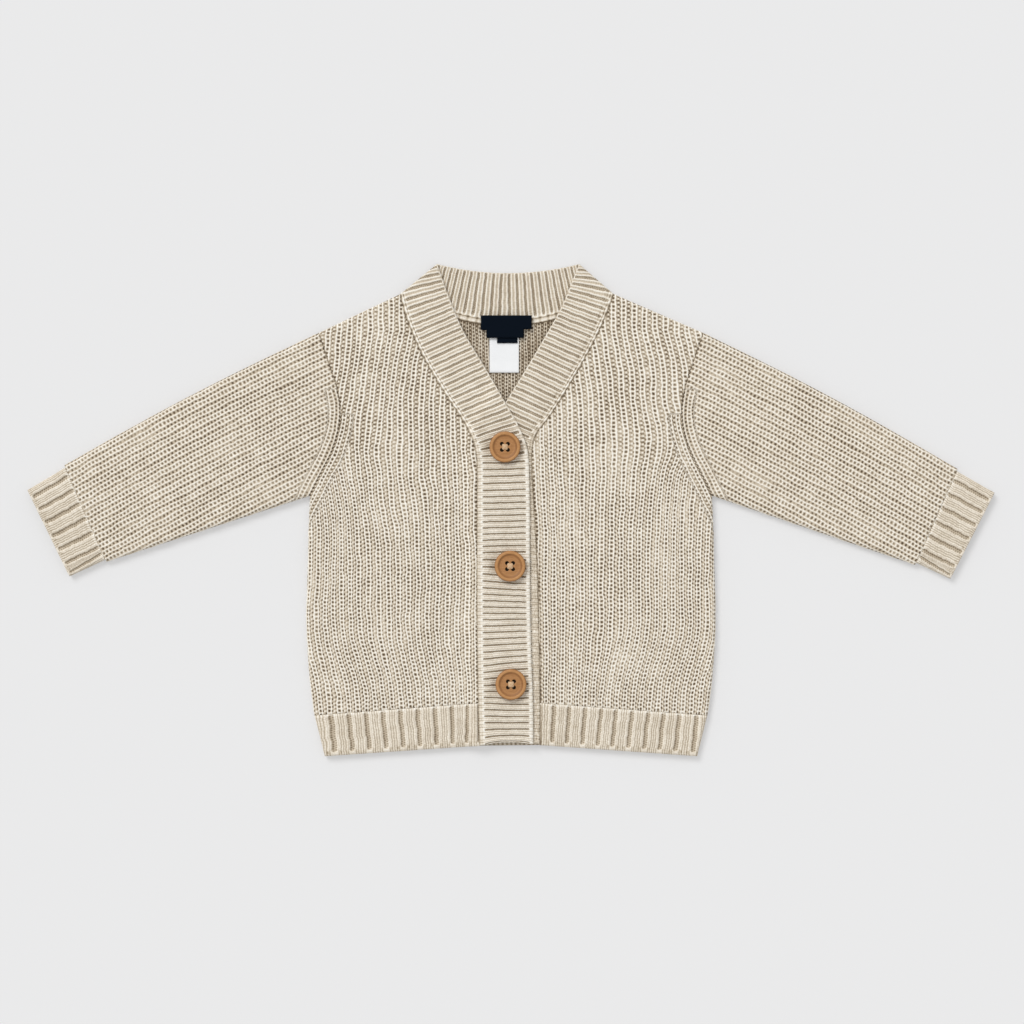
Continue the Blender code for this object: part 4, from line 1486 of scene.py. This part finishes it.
def tube_pattern(plan, side, start_painted_shade, end_painted_shade):
    """The outline of a flat tube, from the start of its upper fold round to its starting end."""
    run = np.linspace(0.0, 1.0, 60)
    zero, one = np.zeros(60), np.ones(60)
    fold = FLAT_HEIGHT / 2.0
    # The ends are given painted shade along their seams.
    parts = [
        (plan(zero, run), fold, 0.0), (plan(run, one), TUBE_END_ROLL, end_painted_shade),
        (plan(one, run[::-1]), fold, 0.0), (plan(run[::-1], zero), TUBE_END_ROLL, start_painted_shade),
    ]
    return Pattern([(mirrored(line, side), radius, dark) for line, radius, dark in parts])


INNER_SHARES = np.linspace(0.0, 1.0, 13)
INNER_SPARE = 0.15  # between a tube's inner face and the cloth of its folds


def inner_rings(plan, side, puff, stations):
    """Sections of a tube's inner face, from end to end."""
    rings = []
    for station in stations:
        width = float(np.linalg.norm(plan(1.0, station) - plan(0.0, station)))
        inset = (WALL + INNER_SPARE) / width
        share = mix(inset, 1.0 - inset, INNER_SHARES)
        line = mirrored(plan(share, np.full(len(share), station)), side)
        rise = puff(station) * np.sin(math.pi * INNER_SHARES)
        upper = np.column_stack((line, LAYER + rise))
        lower = np.column_stack((line, np.full(len(line), WALL)))[::-1]
        rings.append(np.vstack((upper, lower)))
    return rings


def tube_heights(plan, side, puff):
    """The z of a tube's upper side, from the share across and the station along it at a place."""
    grid = np.linspace(0.0, 1.0, 25)
    share, station = pairings(grid, grid)
    places = mirrored(plan(share, station), side)
    rise = np.array([puff(s) for s in station]) * np.sin(math.pi * share)

    def height(x, y):
        return FLAT_HEIGHT + nearby(places, rise, np.column_stack((x, y)))

    return height


def nearby(places, values, points, reach=6.0):
    """Values carried from scattered places to points, by a smooth weight."""
    total = np.zeros(len(points))
    weight = np.full(len(points), 1e-9)
    for place, value in zip(places, values):
        near = np.exp(-((points - place) ** 2).sum(axis=1) / (reach * reach))
        total += near * value
        weight += near
    return total / weight


PUFF_RISES = (0.0, 0.3)  # along the sleeve
PUFF_FALLS = (0.7, 1.0)
PUFF_LEFT = 0.4  # the share of it that is left at the cuff


def sleeve_puff(station):
    rising = float(ease(station, *PUFF_RISES))
    return PUFF * rising * mix(1.0, PUFF_LEFT, float(ease(station, *PUFF_FALLS)))


def cuff_puff(station):
    return CUFF_PUFF * (1.0 - station)


SLEEVE_DEPTH = 90.0  # at the armhole, over which the bow fades


def add_sleeve(word, side, seed):
    def plan(share, station):
        return sleeve_plan(word, share, station)

    pattern = tube_pattern(plan, side, ARMHOLE_SHADE, 0.0)
    start, end = mirrored(plan(0.0, 0.0), side), mirrored(plan(0.0, 1.0), side)
    along = (end - start) / math.dist(start, end)
    down = np.array((along[1], -along[0])) * side
    reach = (pattern.line - start) @ np.column_stack((down, along))
    low, high = reach.min(axis=0) - 4.0, reach.max(axis=0) + 4.0
    course = COURSE["sleeve"]
    u, v = net(low / (SLEEVE_WALE, course), high / (SLEEVE_WALE, course))
    out, far = u * SLEEVE_WALE, v * course
    bow = SLEEVE_BOW * np.sin(math.pi * np.clip(far / math.dist(start, end), 0.0, 1.0))
    points = start + (out - bow * (1.0 - out / SLEEVE_DEPTH))[:, None] * down + far[:, None] * along
    armhole = mirrored(ARMHOLE, side) + (side * SEAM, 0.0)

    def lower_arm(spots):
        return low_on_arm(spots, SLEEVE_LOW_ARM)

    strip = (armhole, ARM_STRIP, SLEEVE_STRIP_WALE, side, lower_arm)
    points, u, v = joined_net((points, u, v), [strip], course)
    upper = lace_knit(points, u + 0.5, v, seed, ladder)
    lower = lace_knit(points, u + 0.5, v, seed + 5, ladder)
    height = tube_heights(plan, side, sleeve_puff)
    rings = inner_rings(plan, side, sleeve_puff, np.linspace(0.0, 1.0, 8))
    cloth = add_tube(word + "_sleeve_knit", pattern, upper, lower, height, table_top, rings)
    piece = cloth.finish(finishes["sleeve_knit"])
    laid(piece, word + "_sleeve", "oatmeal_knit", pattern, layers=2, grain=along)


def add_cuff(word, side, seed):
    def plan(share, station):
        return cuff_plan(word, share, station)

    pattern = tube_pattern(plan, side, 0.1, 0.0)
    count = len(CUFF_GROOVES)
    number = np.linspace(0.0, count - 1.0, 16 * count)
    shares = np.interp(number, np.arange(count), CUFF_GROOVES)
    closer = CUFF_LEAN * ease(shares, *LOWEST_GROOVE)
    joint = mirrored(plan(shares - closer, np.zeros(len(shares))), side)
    end = mirrored(plan(shares, np.ones(len(shares))), side)
    upper, lower = (rib_net(joint, end, number, CUFF, one, CUFF_STEPS, RING_STEP) for one in (seed, seed + 5))
    height = tube_heights(plan, side, cuff_puff)
    rings = inner_rings(plan, side, cuff_puff, (0.0, 0.5, 1.0))
    cloth = add_tube(word + "_cuff_knit", pattern, upper, lower, height, table_top, rings)
    piece = cloth.finish(finishes["cuff_rib"])
    grain = end.mean(axis=0) - joint.mean(axis=0)
    laid(piece, word + "_cuff", "oatmeal_rib", pattern, layers=2, grain=grain)


# ---------------------------------------------------------------- finishes


# Weight of the painted shade in the third number of wear, along seams, under buttons and in hidden and
# recessed places. Below 0 it is painted light.
PAINTED_SHADE = 0.5
# The tone runs from painted shade at the bottom of a hole to painted highlight on the crown of a strand.
YARN = [  # from the bottom of a hole to the crown of a strand
    (0.0, (0.125, 0.088, 0.055)),
    (0.3, (0.265, 0.205, 0.138)),
    (0.6, (0.6, 0.515, 0.395)),
    (0.82, (0.87, 0.8, 0.69)),
    (1.0, (0.985, 0.955, 0.875)),
]


# How often the yarn's unevenness comes back in a metre
FLECKS = 900.0
PATCHES = 120.0
STRANDS = 2600.0
WEAVE_FLECKS = 1500.0
THREAD_FLECKS = 1200.0


def yarn_surface(finish, tone, height):
    """The yarn's colour and fuzz over a tone from 0, deep in painted shade, to 1, proud in painted highlight.
    """
    place = finish.place()
    fleck = finish.noise(place, FLECKS, 3.0, 0.6)
    patch = finish.noise(place, PATCHES)
    strands = finish.noise(place, STRANDS)
    tone = tone + (fleck - 0.5) * 0.45 + (patch - 0.5) * 0.2
    colour = finish.node("ShaderNodeValToRGB", {"stops": YARN}, tone)
    normal = finish.bump(height + strands * 0.25, 0.5, 0.0005)
    finish.set(Base_Color=colour, Roughness=0.95, Normal=normal, Specular_IOR_Level=0.25)
    finish.set(Sheen_Weight=0.12, Sheen_Roughness=0.5, Sheen_Tint=(1.0, 0.96, 0.88, 1.0))
    return finish.material


def lace_finish(name, drawing, base, hole_painted_shade, cap_painted_shade):
    """Open knit, from its base tone down to how much darker a hole and a cap are painted, as painted shade.
    """
    finish = Finish(name)
    u, v, _ = finish.attribute("stitch")
    hole_wear, cap_wear, seam = finish.attribute("wear")
    hole, cap, line = drawing(u, v)
    # Painted shade in the holes, in the caps and along seams (the third number of wear), and painted
    # highlight on the strands' lines.
    tone = base + line * 0.36 - hole * hole_wear * hole_painted_shade - cap * cap_wear * cap_painted_shade - seam * PAINTED_SHADE
    return yarn_surface(finish, tone, line * 0.5 - hole * 0.9 - cap * 0.4)


def rib_finish(name, make, chain_rows, wide=None, base=0.74, slits=0.0, selvedge=0.0, painted_side_shade=0.0):
    """Ribbing. Where it changes along the piece, wide is what it changes to.

    chain_rows are (distance from the seam, width, depth) of dark lines between linked stitches, painted shade
    in their gaps.
    slits is how dark the painted shade is in the gaps that open beside the grooves, near the free edge.
    selvedge is the width of the strip of irregular plain stitches beside the seam.
    uneven is how much darker the first side of a groove is painted than its middle, and the other side
    lighter: painted shade and painted light as from one side. Where it is set, a pale row of loops runs
    beside the seam too.
    """
    finish = Finish(name)
    u, v, w = finish.attribute("stitch")
    up, wear, seam = finish.attribute("wear")
    if wide is not None:
        make = Ribbing(*(low if low == high else low + up * (high - low) for low, high in zip(make, wide)))
    knit = ribs(u, v, w, make)
    # The rims get painted highlight, stronger away from the free edge.
    rim = knit.rim * (0.04 + ease(w, make.edge_margin - 0.9, make.edge_margin + 0.6) * 0.13)
    # furrow is painted shade in the lines between wales, and seam the painted shade from the third number of
    # wear.
    tone = base + rim - knit.furrow * make.lines - knit.bead * 0.12 - seam * PAINTED_SHADE
    shade = make.shade
    # Painted shade on the first side of each groove and painted light on the other, as from one side.
    if painted_side_shade:
        lean = ease(centred(u) / make.groove, -0.9, 0.9)
        between_loops = bell(centred(u * make.wales + 0.5), 0.18)
        shade = shade * (1.0 + painted_side_shade - lean * (2.0 * painted_side_shade))
        tone = tone + bell(v - 0.7, 0.9) * (0.16 - between_loops * 0.12)
    # Painted shade in the grooves, in their purl stitches and in the slits.
    tone = tone - knit.hollow * shade - knit.purl * (0.34 + painted_side_shade * 0.15) - knit.slit * wear * slits
    height = knit.rim * 0.3 - knit.furrow * 0.4 - knit.bead * 0.3 - knit.hollow * 0.8 - knit.purl * 0.4
    for place, width, depth in chain_rows:
        row = linked(u, v, place, width)
        between_loops = bell(centred(u * 2.0 + 0.25), 0.16)
        loops = bell(v - place - width * 3.0, width * 1.6) * (1.0 - between_loops * 0.8)
        if wide is not None:
            row = row * (0.3 + up * 0.7)
            loops = loops * up
        # The linked rows' gaps take painted shade.
        tone = tone - row * depth + loops * 0.14
        height = height - row * 0.4 + loops * 0.2
    if wide is not None:
        rung = bell(0.5 - fold_back(u), 0.15) * bell(w - 0.1, 0.55) * (1.0 - up)
        # pale is painted light along the free edge and beside the seam below the V, lifting the shade that
        # falls there.
        pale = ease(w, 4.2, 1.2) * 0.15 + bell(v - 3.2, 1.3) * (0.0 if selvedge else 0.1)
        tone = tone - rung * 0.14 + pale * (1.0 - up)
    if selvedge:
        plain = ease(v, selvedge, selvedge - 0.8)
        drawn_out = finish.node("ShaderNodeCombineXYZ", None, v * 1.3, u * 1.1, 0.0)
        streaks = finish.noise(drawn_out, 1.0, 3.0, 0.7)
        tone = tone + plain * (0.42 - streaks * 0.95)
        height = height - plain * streaks
    return yarn_surface(finish, tone, height)


# The first stop is painted shade inside a hole.
WOOD = [  # from inside a hole to the bare grain
    (0.0, (0.02, 0.01, 0.005)),
    (0.2, (0.13, 0.05, 0.016)),
    (0.42, (0.25, 0.108, 0.034)),
    (0.62, (0.375, 0.173, 0.06)),
    (0.95, (0.7, 0.375, 0.145)),
]


def wood_finish(name):
    """Turned and oiled wood: a light rim round a browner dish."""
    finish = Finish(name)
    x, y, far = finish.attribute("turned")
    stretched = finish.node("ShaderNodeCombineXYZ", None, x * 0.25, y * 1.6, far * 0.2)
    grain = finish.noise(stretched, 1.2, 4.0, 0.65)
    pores = finish.noise(stretched, 5.0, 2.0)
    rings = fold_back(far * 0.9) * 2.0
    rim = ease(far, BUTTON_DISH - 0.4, BUTTON_DISH + 0.5)
    groove = bell(far - BUTTON_DISH + 0.2, 0.6)
    edge = ease(far, BUTTON_RADIUS - 0.9, BUTTON_RADIUS)
    aside, along = abs(x) - HOLE_PITCH / 2.0, abs(y) - HOLE_PITCH / 2.0
    hole = ease(root(aside * aside + along * along), HOLE_RADIUS + 0.2, HOLE_RADIUS - 0.05)
    tone = 0.385 + grain * 0.34 + pores * 0.14 + rings * 0.05 + rim * 0.09
    # groove is painted shade where the rim drops into the dish, and hole painted shade round the holes'
    # mouths; edge darkens towards the outer edge.
    tone = tone - groove * 0.17 - edge * 0.24 - hole * 0.95
    colour = finish.node("ShaderNodeValToRGB", {"stops": WOOD}, tone)
    normal = finish.bump(grain + rings * 0.4, 0.25, 0.0002)
    finish.set(Base_Color=colour, Roughness=0.42 + grain * 0.15, Normal=normal, Specular_IOR_Level=0.35)
    return finish.material


def woven_finish(name, colour, rows):
    """A plain weave with so many rows of weft to a millimetre."""
    finish = Finish(name)
    u, v, _ = finish.attribute("stitch")
    weft = fold_back(v * rows) * 2.0
    warp = fold_back(u * rows + rounded(v * rows) * 0.5) * 2.0
    cloth = weft * 0.5 + warp * 0.5
    shade = cloth * 0.5 + finish.noise(finish.place(), WEAVE_FLECKS) * 0.5
    dark, light = (tuple(part * times for part in colour) + (1.0,) for times in (0.86, 1.05))
    finish.set(Base_Color=finish.blend(shade, dark, light), Roughness=0.8, Specular_IOR_Level=0.03)
    finish.set(Normal=finish.bump(cloth, 0.3, 0.0002))
    return finish.material


def thread_finish(name):
    finish = Finish(name)
    fleck = finish.noise(finish.place(), THREAD_FLECKS)
    colour = finish.blend(fleck, (0.5, 0.31, 0.165, 1.0), (0.82, 0.6, 0.38, 1.0))
    finish.set(Base_Color=colour, Roughness=0.85)
    return finish.material


# ---------------------------------------------------------------- buttons and labels


BUTTON_RADIUS = 10.0
BUTTON_HEIGHT = 3.2
BUTTON_DISH = 7.5
BUTTON_DISH_DEPTH = 0.85
BUTTON_FOOT = 7.6
BUTTON_FOOT_RISE = 0.5
HOLE_RADIUS = 1.18
HOLE_PITCH = 3.9
HOLE_CORNERS = HOLE_PITCH / 2.0 * np.array(((1.0, 1.0), (-1.0, 1.0), (-1.0, -1.0), (1.0, -1.0)))
HOLE_LIP = 0.18
HOLE_LIP_FALL = 0.14
HOLE_CLEARANCE = 0.35  # between a hole and the other points of a face
BUTTON_TURNS = 96
HOLE_TURNS = 20
SHARP_ANGLE = 50.0


def circle(radius, turns, middle=(0.0, 0.0)):
    turn = np.arange(turns) * math.tau / turns
    return np.column_stack((middle[0] + radius * np.cos(turn), middle[1] + radius * np.sin(turn)))


def button_face(far):
    """The height of a button's upper face, by the distance from its middle."""
    dish = BUTTON_HEIGHT - BUTTON_DISH_DEPTH
    bead_middle = (BUTTON_DISH + BUTTON_RADIUS) / 2.0
    bead = np.clip(1.0 - ((far - bead_middle) / (BUTTON_RADIUS - bead_middle)) ** 2, 0.0, None)
    hollow = 0.35 * ease(far, BUTTON_DISH, BUTTON_DISH - 1.6) - 0.2 * ease(far, 6.0, 2.0)
    return dish - hollow + BUTTON_DISH_DEPTH * np.sqrt(bead) * (far > BUTTON_DISH)


def button_foot(far):
    """And that of its underside."""
    dish = BUTTON_HEIGHT - BUTTON_DISH_DEPTH
    turn_up = (BUTTON_RADIUS + BUTTON_FOOT) / 2.0
    return np.interp(far, (0.0, BUTTON_FOOT, turn_up, BUTTON_RADIUS), (0.0, 0.0, BUTTON_FOOT_RISE, dish))


def from_holes(points):
    """The distance from each point to the middle of the nearest hole."""
    return np.min([norms(points - corner) for corner in HOLE_CORNERS], axis=0)


def add_button(button):
    """A turned button with four holes right through it."""
    low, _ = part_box(button.name)
    rest = low.z / MM
    radii = np.concatenate((
        np.linspace(0.6, BUTTON_DISH - 0.5, 9), np.linspace(BUTTON_DISH - 0.35, BUTTON_RADIUS - 0.06, 18)))
    turns = [max(8, round(BUTTON_TURNS * radius / BUTTON_RADIUS)) for radius in radii]
    rings = np.vstack([circle(radius, count) for radius, count in zip(radii, turns)])
    rings = rings[from_holes(rings) > HOLE_RADIUS + HOLE_CLEARANCE]
    rim = circle(BUTTON_RADIUS, BUTTON_TURNS)
    holes, lips = (
        [circle(radius, HOLE_TURNS, corner) for corner in HOLE_CORNERS]
        for radius in (HOLE_RADIUS, HOLE_RADIUS + HOLE_LIP))
    points = np.vstack([rim, *holes, *lips, rings])
    rim_edges = ring_edges(0, BUTTON_TURNS)
    hole_edges = sum((ring_edges(BUTTON_TURNS + k * HOLE_TURNS, HOLE_TURNS) for k in range(len(holes))), [])
    made = triangulated(points, rim_edges + hole_edges)
    spots = np.array([tuple(p) for p in made[0]])
    faces = np.array([face for face in made[2] if len(face) == 3])
    faces = faces[from_holes(spots[faces].mean(axis=1)) > HOLE_RADIUS * 0.97]
    count = len(spots)
    far = norms(spots)
    top = button_face(far) - HOLE_LIP_FALL * (from_holes(spots) < HOLE_RADIUS + 0.01)
    upper = np.column_stack((spots, top))
    lower = np.column_stack((spots, np.minimum(button_foot(far), top - 0.02)))
    walls = [(i, i + count, j + count, j) for i, j in rim_edges]
    walls += [(j, j + count, i + count, i) for i, j in hole_edges]
    faces = faces.tolist() + (faces[:, ::-1] + count).tolist() + walls
    every = np.vstack((upper, lower)) + (button.x, button.y, rest)
    piece = add_piece(button.name + "_turned", every, faces, finishes["turned_wood"])
    keep(piece.data, "turned", np.tile(np.column_stack((spots, far)), (2, 1)))
    piece.data.set_sharp_from_angle(angle=math.radians(SHARP_ANGLE))
    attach(piece, "root")
    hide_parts(button.name)
    add_button_thread(button, rest)


STRAND = 0.26
STRAND_SIDES = 8
STRANDS_EACH_WAY = 6
KNOT_REACH = 0.74  # how far from the middle the strands go down, as a share of the way to the holes
THREAD_FOOT = 0.3
THREAD_RISE = 0.55


def tube_mesh(paths, radius, sides=STRAND_SIDES):
    """Points and faces of closed tubes along lines of points."""
    points, faces = [], []
    for path in paths:
        path = np.asarray(path, float)
        ahead = unit(np.gradient(path, axis=0))
        across = unit(np.cross(ahead, (0.13, 0.37, 0.92)))
        up = np.cross(ahead, across)
        first = len(points)
        for spot, a, b in zip(path, across, up):
            for k in range(sides):
                turn = math.tau * k / sides
                points.append(spot + radius * (a * math.cos(turn) + b * math.sin(turn)))
        for i in range(len(path) - 1):
            for k in range(sides):
                a, b = first + i * sides + k, first + i * sides + (k + 1) % sides
                faces.append((a, b, b + sides, a + sides))
        faces.append(tuple(first + k for k in reversed(range(sides))))
        faces.append(tuple(first + (len(path) - 1) * sides + k for k in range(sides)))
    return np.array(points), faces


def add_button_thread(button, rest):
    """Strands crossed into a small knot in the middle, plunging into the near sides of the four holes."""
    corners = HOLE_CORNERS * KNOT_REACH
    face = float(button_face(np.array([0.0]))[0])
    share = np.linspace(0.0, 1.0, 15)
    arch = np.sin(math.pi * share)
    paths = []
    for layer, (start, end) in enumerate(((corners[0], corners[2]), (corners[1], corners[3]))):
        way = (end - start) / math.dist(start, end)
        sideways = np.array((-way[1], way[0]))
        hump = face - 0.25 + THREAD_RISE * arch ** 0.5 + 0.35 * layer * bell(share - 0.5, 0.25)
        for strand in np.arange(STRANDS_EACH_WAY) - (STRANDS_EACH_WAY - 1.0) / 2.0:
            spread = strand * STRAND * (0.55 + 1.25 * arch)
            line = mix(start, end, share[:, None]) + sideways * spread[:, None]
            over = np.column_stack((line, hump + 0.1 * (abs(strand) < 1.0)))
            down = [np.append(line[0], z) for z in np.linspace(THREAD_FOOT, face - 0.8, 3)]
            under = [np.append(line[-1], z) for z in np.linspace(face - 0.8, THREAD_FOOT, 3)]
            paths.append(np.vstack((down, over, under)))
    points, faces = tube_mesh(paths, STRAND)
    points = points + (button.x, button.y, rest)
    piece = add_piece(button.name + "_strands", points, faces, finishes["cream_thread"])
    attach(piece, "root")
    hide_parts(button.name + "_thread")


Label = namedtuple("Label", "name layer finish outline")
LABELS = [Label(*row) for row in (
    ("care_label", 0, "white_satin", ((-13.9, 88.6), (5.2, 88.6), (5.2, 122.0), (-13.9, 122.0))),
    ("size_tab", 1, "navy_tape", ((-9.0, 107.7), (4.2, 107.7), (4.2, 122.0), (-9.0, 122.0))),
    ("neck_label", 2, "navy_tape", (
        (-15.8, 111.0), (8.3, 111.0), (8.3, 116.7), (13.4, 116.7),
        (13.4, 125.6), (-19.5, 125.6), (-19.5, 116.1), (-15.8, 116.1),
    )),
)]


LABEL_ROLL = 0.35
LABEL_CURL = 0.35
LABEL_CURL_REACH = 8.0


def add_label(label):
    """A folded tape with its faces a little apart, its foot curling up."""
    corners = np.array(label.outline)
    parts = [(straight(a, b), LABEL_ROLL) for a, b in zip(corners, np.roll(corners, -1, axis=0))]
    pattern = Pattern(parts, step=0.6)
    foot = corners[:, 1].min()
    base = LAYER + label.layer * (TAPE + SEAM) + TAPE

    def height(x, y):
        curl = LABEL_CURL * ease(y, foot + LABEL_CURL_REACH, foot) * (label.layer == 0)
        return base + curl + 0.1 * drift(x, y, 6.0, 71 + label.layer)

    def stitch_of(points):
        return np.column_stack((points, np.zeros(len(points)))), np.zeros((len(points), 3))

    side = plain_side(pattern, stitch_of, step=0.9)
    cloth = add_panel(label.name + "_woven", pattern, side, side, height, rolled="both", thickness=TAPE)
    laid(cloth.finish(finishes[label.finish]), label.name, label.finish, pattern)


# ---------------------------------------------------------------- studio


PICTURE_WIDTH = 660.5
PICTURE_CENTRE = (0.64, -1.29)
LENS = 120.0
SENSOR = 36.0
GARMENT_HEIGHT = 6.0
PAPER = (0.822, 0.822, 0.826)
PAPER_REACH = 3.0  # these two in metres
PAPER_DROP = 0.0003
SUN_STRENGTH = 1.6
SUN_SPREAD = 28.0
SUN_LEAN = (-32.0, -28.0, 0.0)
ROOM_LIGHT = 0.62
SHADOW_LIFT = 0.42  # how much of the shadow on the paper is taken off what the camera sees


def add_studio():
    """The camera straight above, the pale paper, a broad sun and the light of the room."""
    scene = bpy.context.scene
    scene.view_settings.view_transform = "Standard"

    camera = bpy.data.objects.new("camera", bpy.data.cameras.new("camera"))
    camera.data.lens = LENS
    camera.data.sensor_width = SENSOR
    camera.data.clip_end = 20.0
    away = PICTURE_WIDTH * LENS / SENSOR + GARMENT_HEIGHT
    camera.location = Vector((*PICTURE_CENTRE, away)) * MM
    scene.collection.objects.link(camera)
    scene.camera = camera

    floor = bpy.data.meshes.new("floor")
    ways = ((-1.0, -1.0), (1.0, -1.0), (1.0, 1.0), (-1.0, 1.0))
    corners = [(x * PAPER_REACH, y * PAPER_REACH, -PAPER_DROP) for x, y in ways]
    floor.from_pydata(corners, [], [(0, 1, 2, 3)])
    paper = Finish("pale_paper")
    paper.set(Base_Color=(*PAPER, 1.0), Roughness=0.9, Specular_IOR_Level=0.0)
    glow = paper.node("ShaderNodeEmission", None, (*PAPER, 1.0))
    rays = ("Is Camera Ray", "Is Glossy Ray", "Is Transmission Ray")
    seen = sum(paper.node("ShaderNodeLightPath", output=ray) for ray in rays)
    both = paper.node("ShaderNodeMixShader", None, seen * SHADOW_LIFT, paper.shader(), glow)
    paper.feed(paper.tree.nodes["Material Output"].inputs["Surface"], both)
    floor.materials.append(paper.material)
    table = bpy.data.objects.new("floor", floor)
    scene.collection.objects.link(table)

    key = bpy.data.lights.new("key", "SUN")
    key.energy = SUN_STRENGTH
    key.angle = math.radians(SUN_SPREAD)
    lamp = bpy.data.objects.new("key", key)
    lamp.rotation_euler = [math.radians(angle) for angle in SUN_LEAN]
    scene.collection.objects.link(lamp)

    world = bpy.data.worlds.new("soft_room")
    world.use_nodes = True
    room = world.node_tree.nodes["Background"]
    room.inputs[0].default_value = (1.0, 1.0, 1.0, 1.0)
    room.inputs[1].default_value = ROOM_LIGHT
    scene.world = world


# ---------------------------------------------------------------- the whole garment


BAND_CHAINS = ((0.3, 0.3, 0.3), (1.9, 0.28, 0.36))
NECK_CHAINS = ((0.3, 0.4, 0.3), (3.5, 0.5, 0.5))
SELVEDGE = 5.4

finishes = {
    "oatmeal_knit": lace_finish("oatmeal_knit", lace, 0.67, 0.72, 0.62),
    "sleeve_knit": lace_finish("sleeve_knit", ladder, 0.6, 0.43, 0.5),
    "band_rib": rib_finish("band_rib", PLACKET, BAND_CHAINS, wide=NECK_BAND, base=0.83),
    "under_band_rib": rib_finish(
        "under_band_rib", UNDER_PLACKET, BAND_CHAINS, wide=NECK_BAND, base=0.82, selvedge=SELVEDGE),
    "neck_rib": rib_finish("neck_rib", BACK_NECK, NECK_CHAINS, base=0.805),
    "hem_rib": rib_finish("hem_rib", HEM, (), base=0.78, slits=0.35, painted_side_shade=0.45),
    "cuff_rib": rib_finish("cuff_rib", CUFF, (), base=0.785, slits=0.35, painted_side_shade=0.45),
    "turned_wood": wood_finish("turned_wood"),
    "cream_thread": thread_finish("cream_thread"),
    "navy_tape": woven_finish("navy_tape", (0.0035, 0.0065, 0.012), 2.2),
    "white_satin": woven_finish("white_satin", (0.93, 0.94, 0.95), 3.0),
}

add_studio()
add_back(5)
add_front("right", BUTTONHOLE_BAND, -1.0, right_top, 0.35, 11)
add_front("left", BUTTON_BAND, 1.0, left_top, 0.9, 23)
add_band("right", "buttonhole_band", BUTTONHOLE_BAND, right_top, "band_rib", 31)
add_band("left", "button_band", BUTTON_BAND, left_top, "under_band_rib", 37)
add_neckband(41)
add_hem(
    "right_front_hem_rib", HEM_GROOVES["right"], HEM_TOP[:2] - ((0.0, 0.0), (SEAM, 0.0)),
    HEM_FOOT[:2] - ((0.0, 0.0), (SEAM, 0.0)), right_top, "upper", (SIDE_EDGE, (0.5, 0.3)),
    43, BESIDE_BAND)
add_hem(
    "left_front_hem_rib", HEM_GROOVES["left"], HEM_TOP[2:] + ((SEAM, 0.0), (0.0, 0.0)),
    HEM_FOOT[2:] + ((SEAM, 0.0), (0.0, 0.0)), left_top, "upper", ((0.5, 1.0), SIDE_EDGE),
    47)
add_hem(
    "back_hem_rib", np.vstack((HEM_GROOVES["right"][:-1], HEM_GROOVES["left"][1:])), HEM_TOP,
    HEM_FOOT, back_top, "lower", (SIDE_EDGE, SIDE_EDGE), 53)
for wearer_side, sign, seed in (("left", 1.0, 61), ("right", -1.0, 67)):
    add_sleeve(wearer_side, sign, seed)
    add_cuff(wearer_side, sign, seed + 100)
for one_button in BUTTONS:
    add_button(one_button)
for one_label in LABELS:
    add_label(one_label)
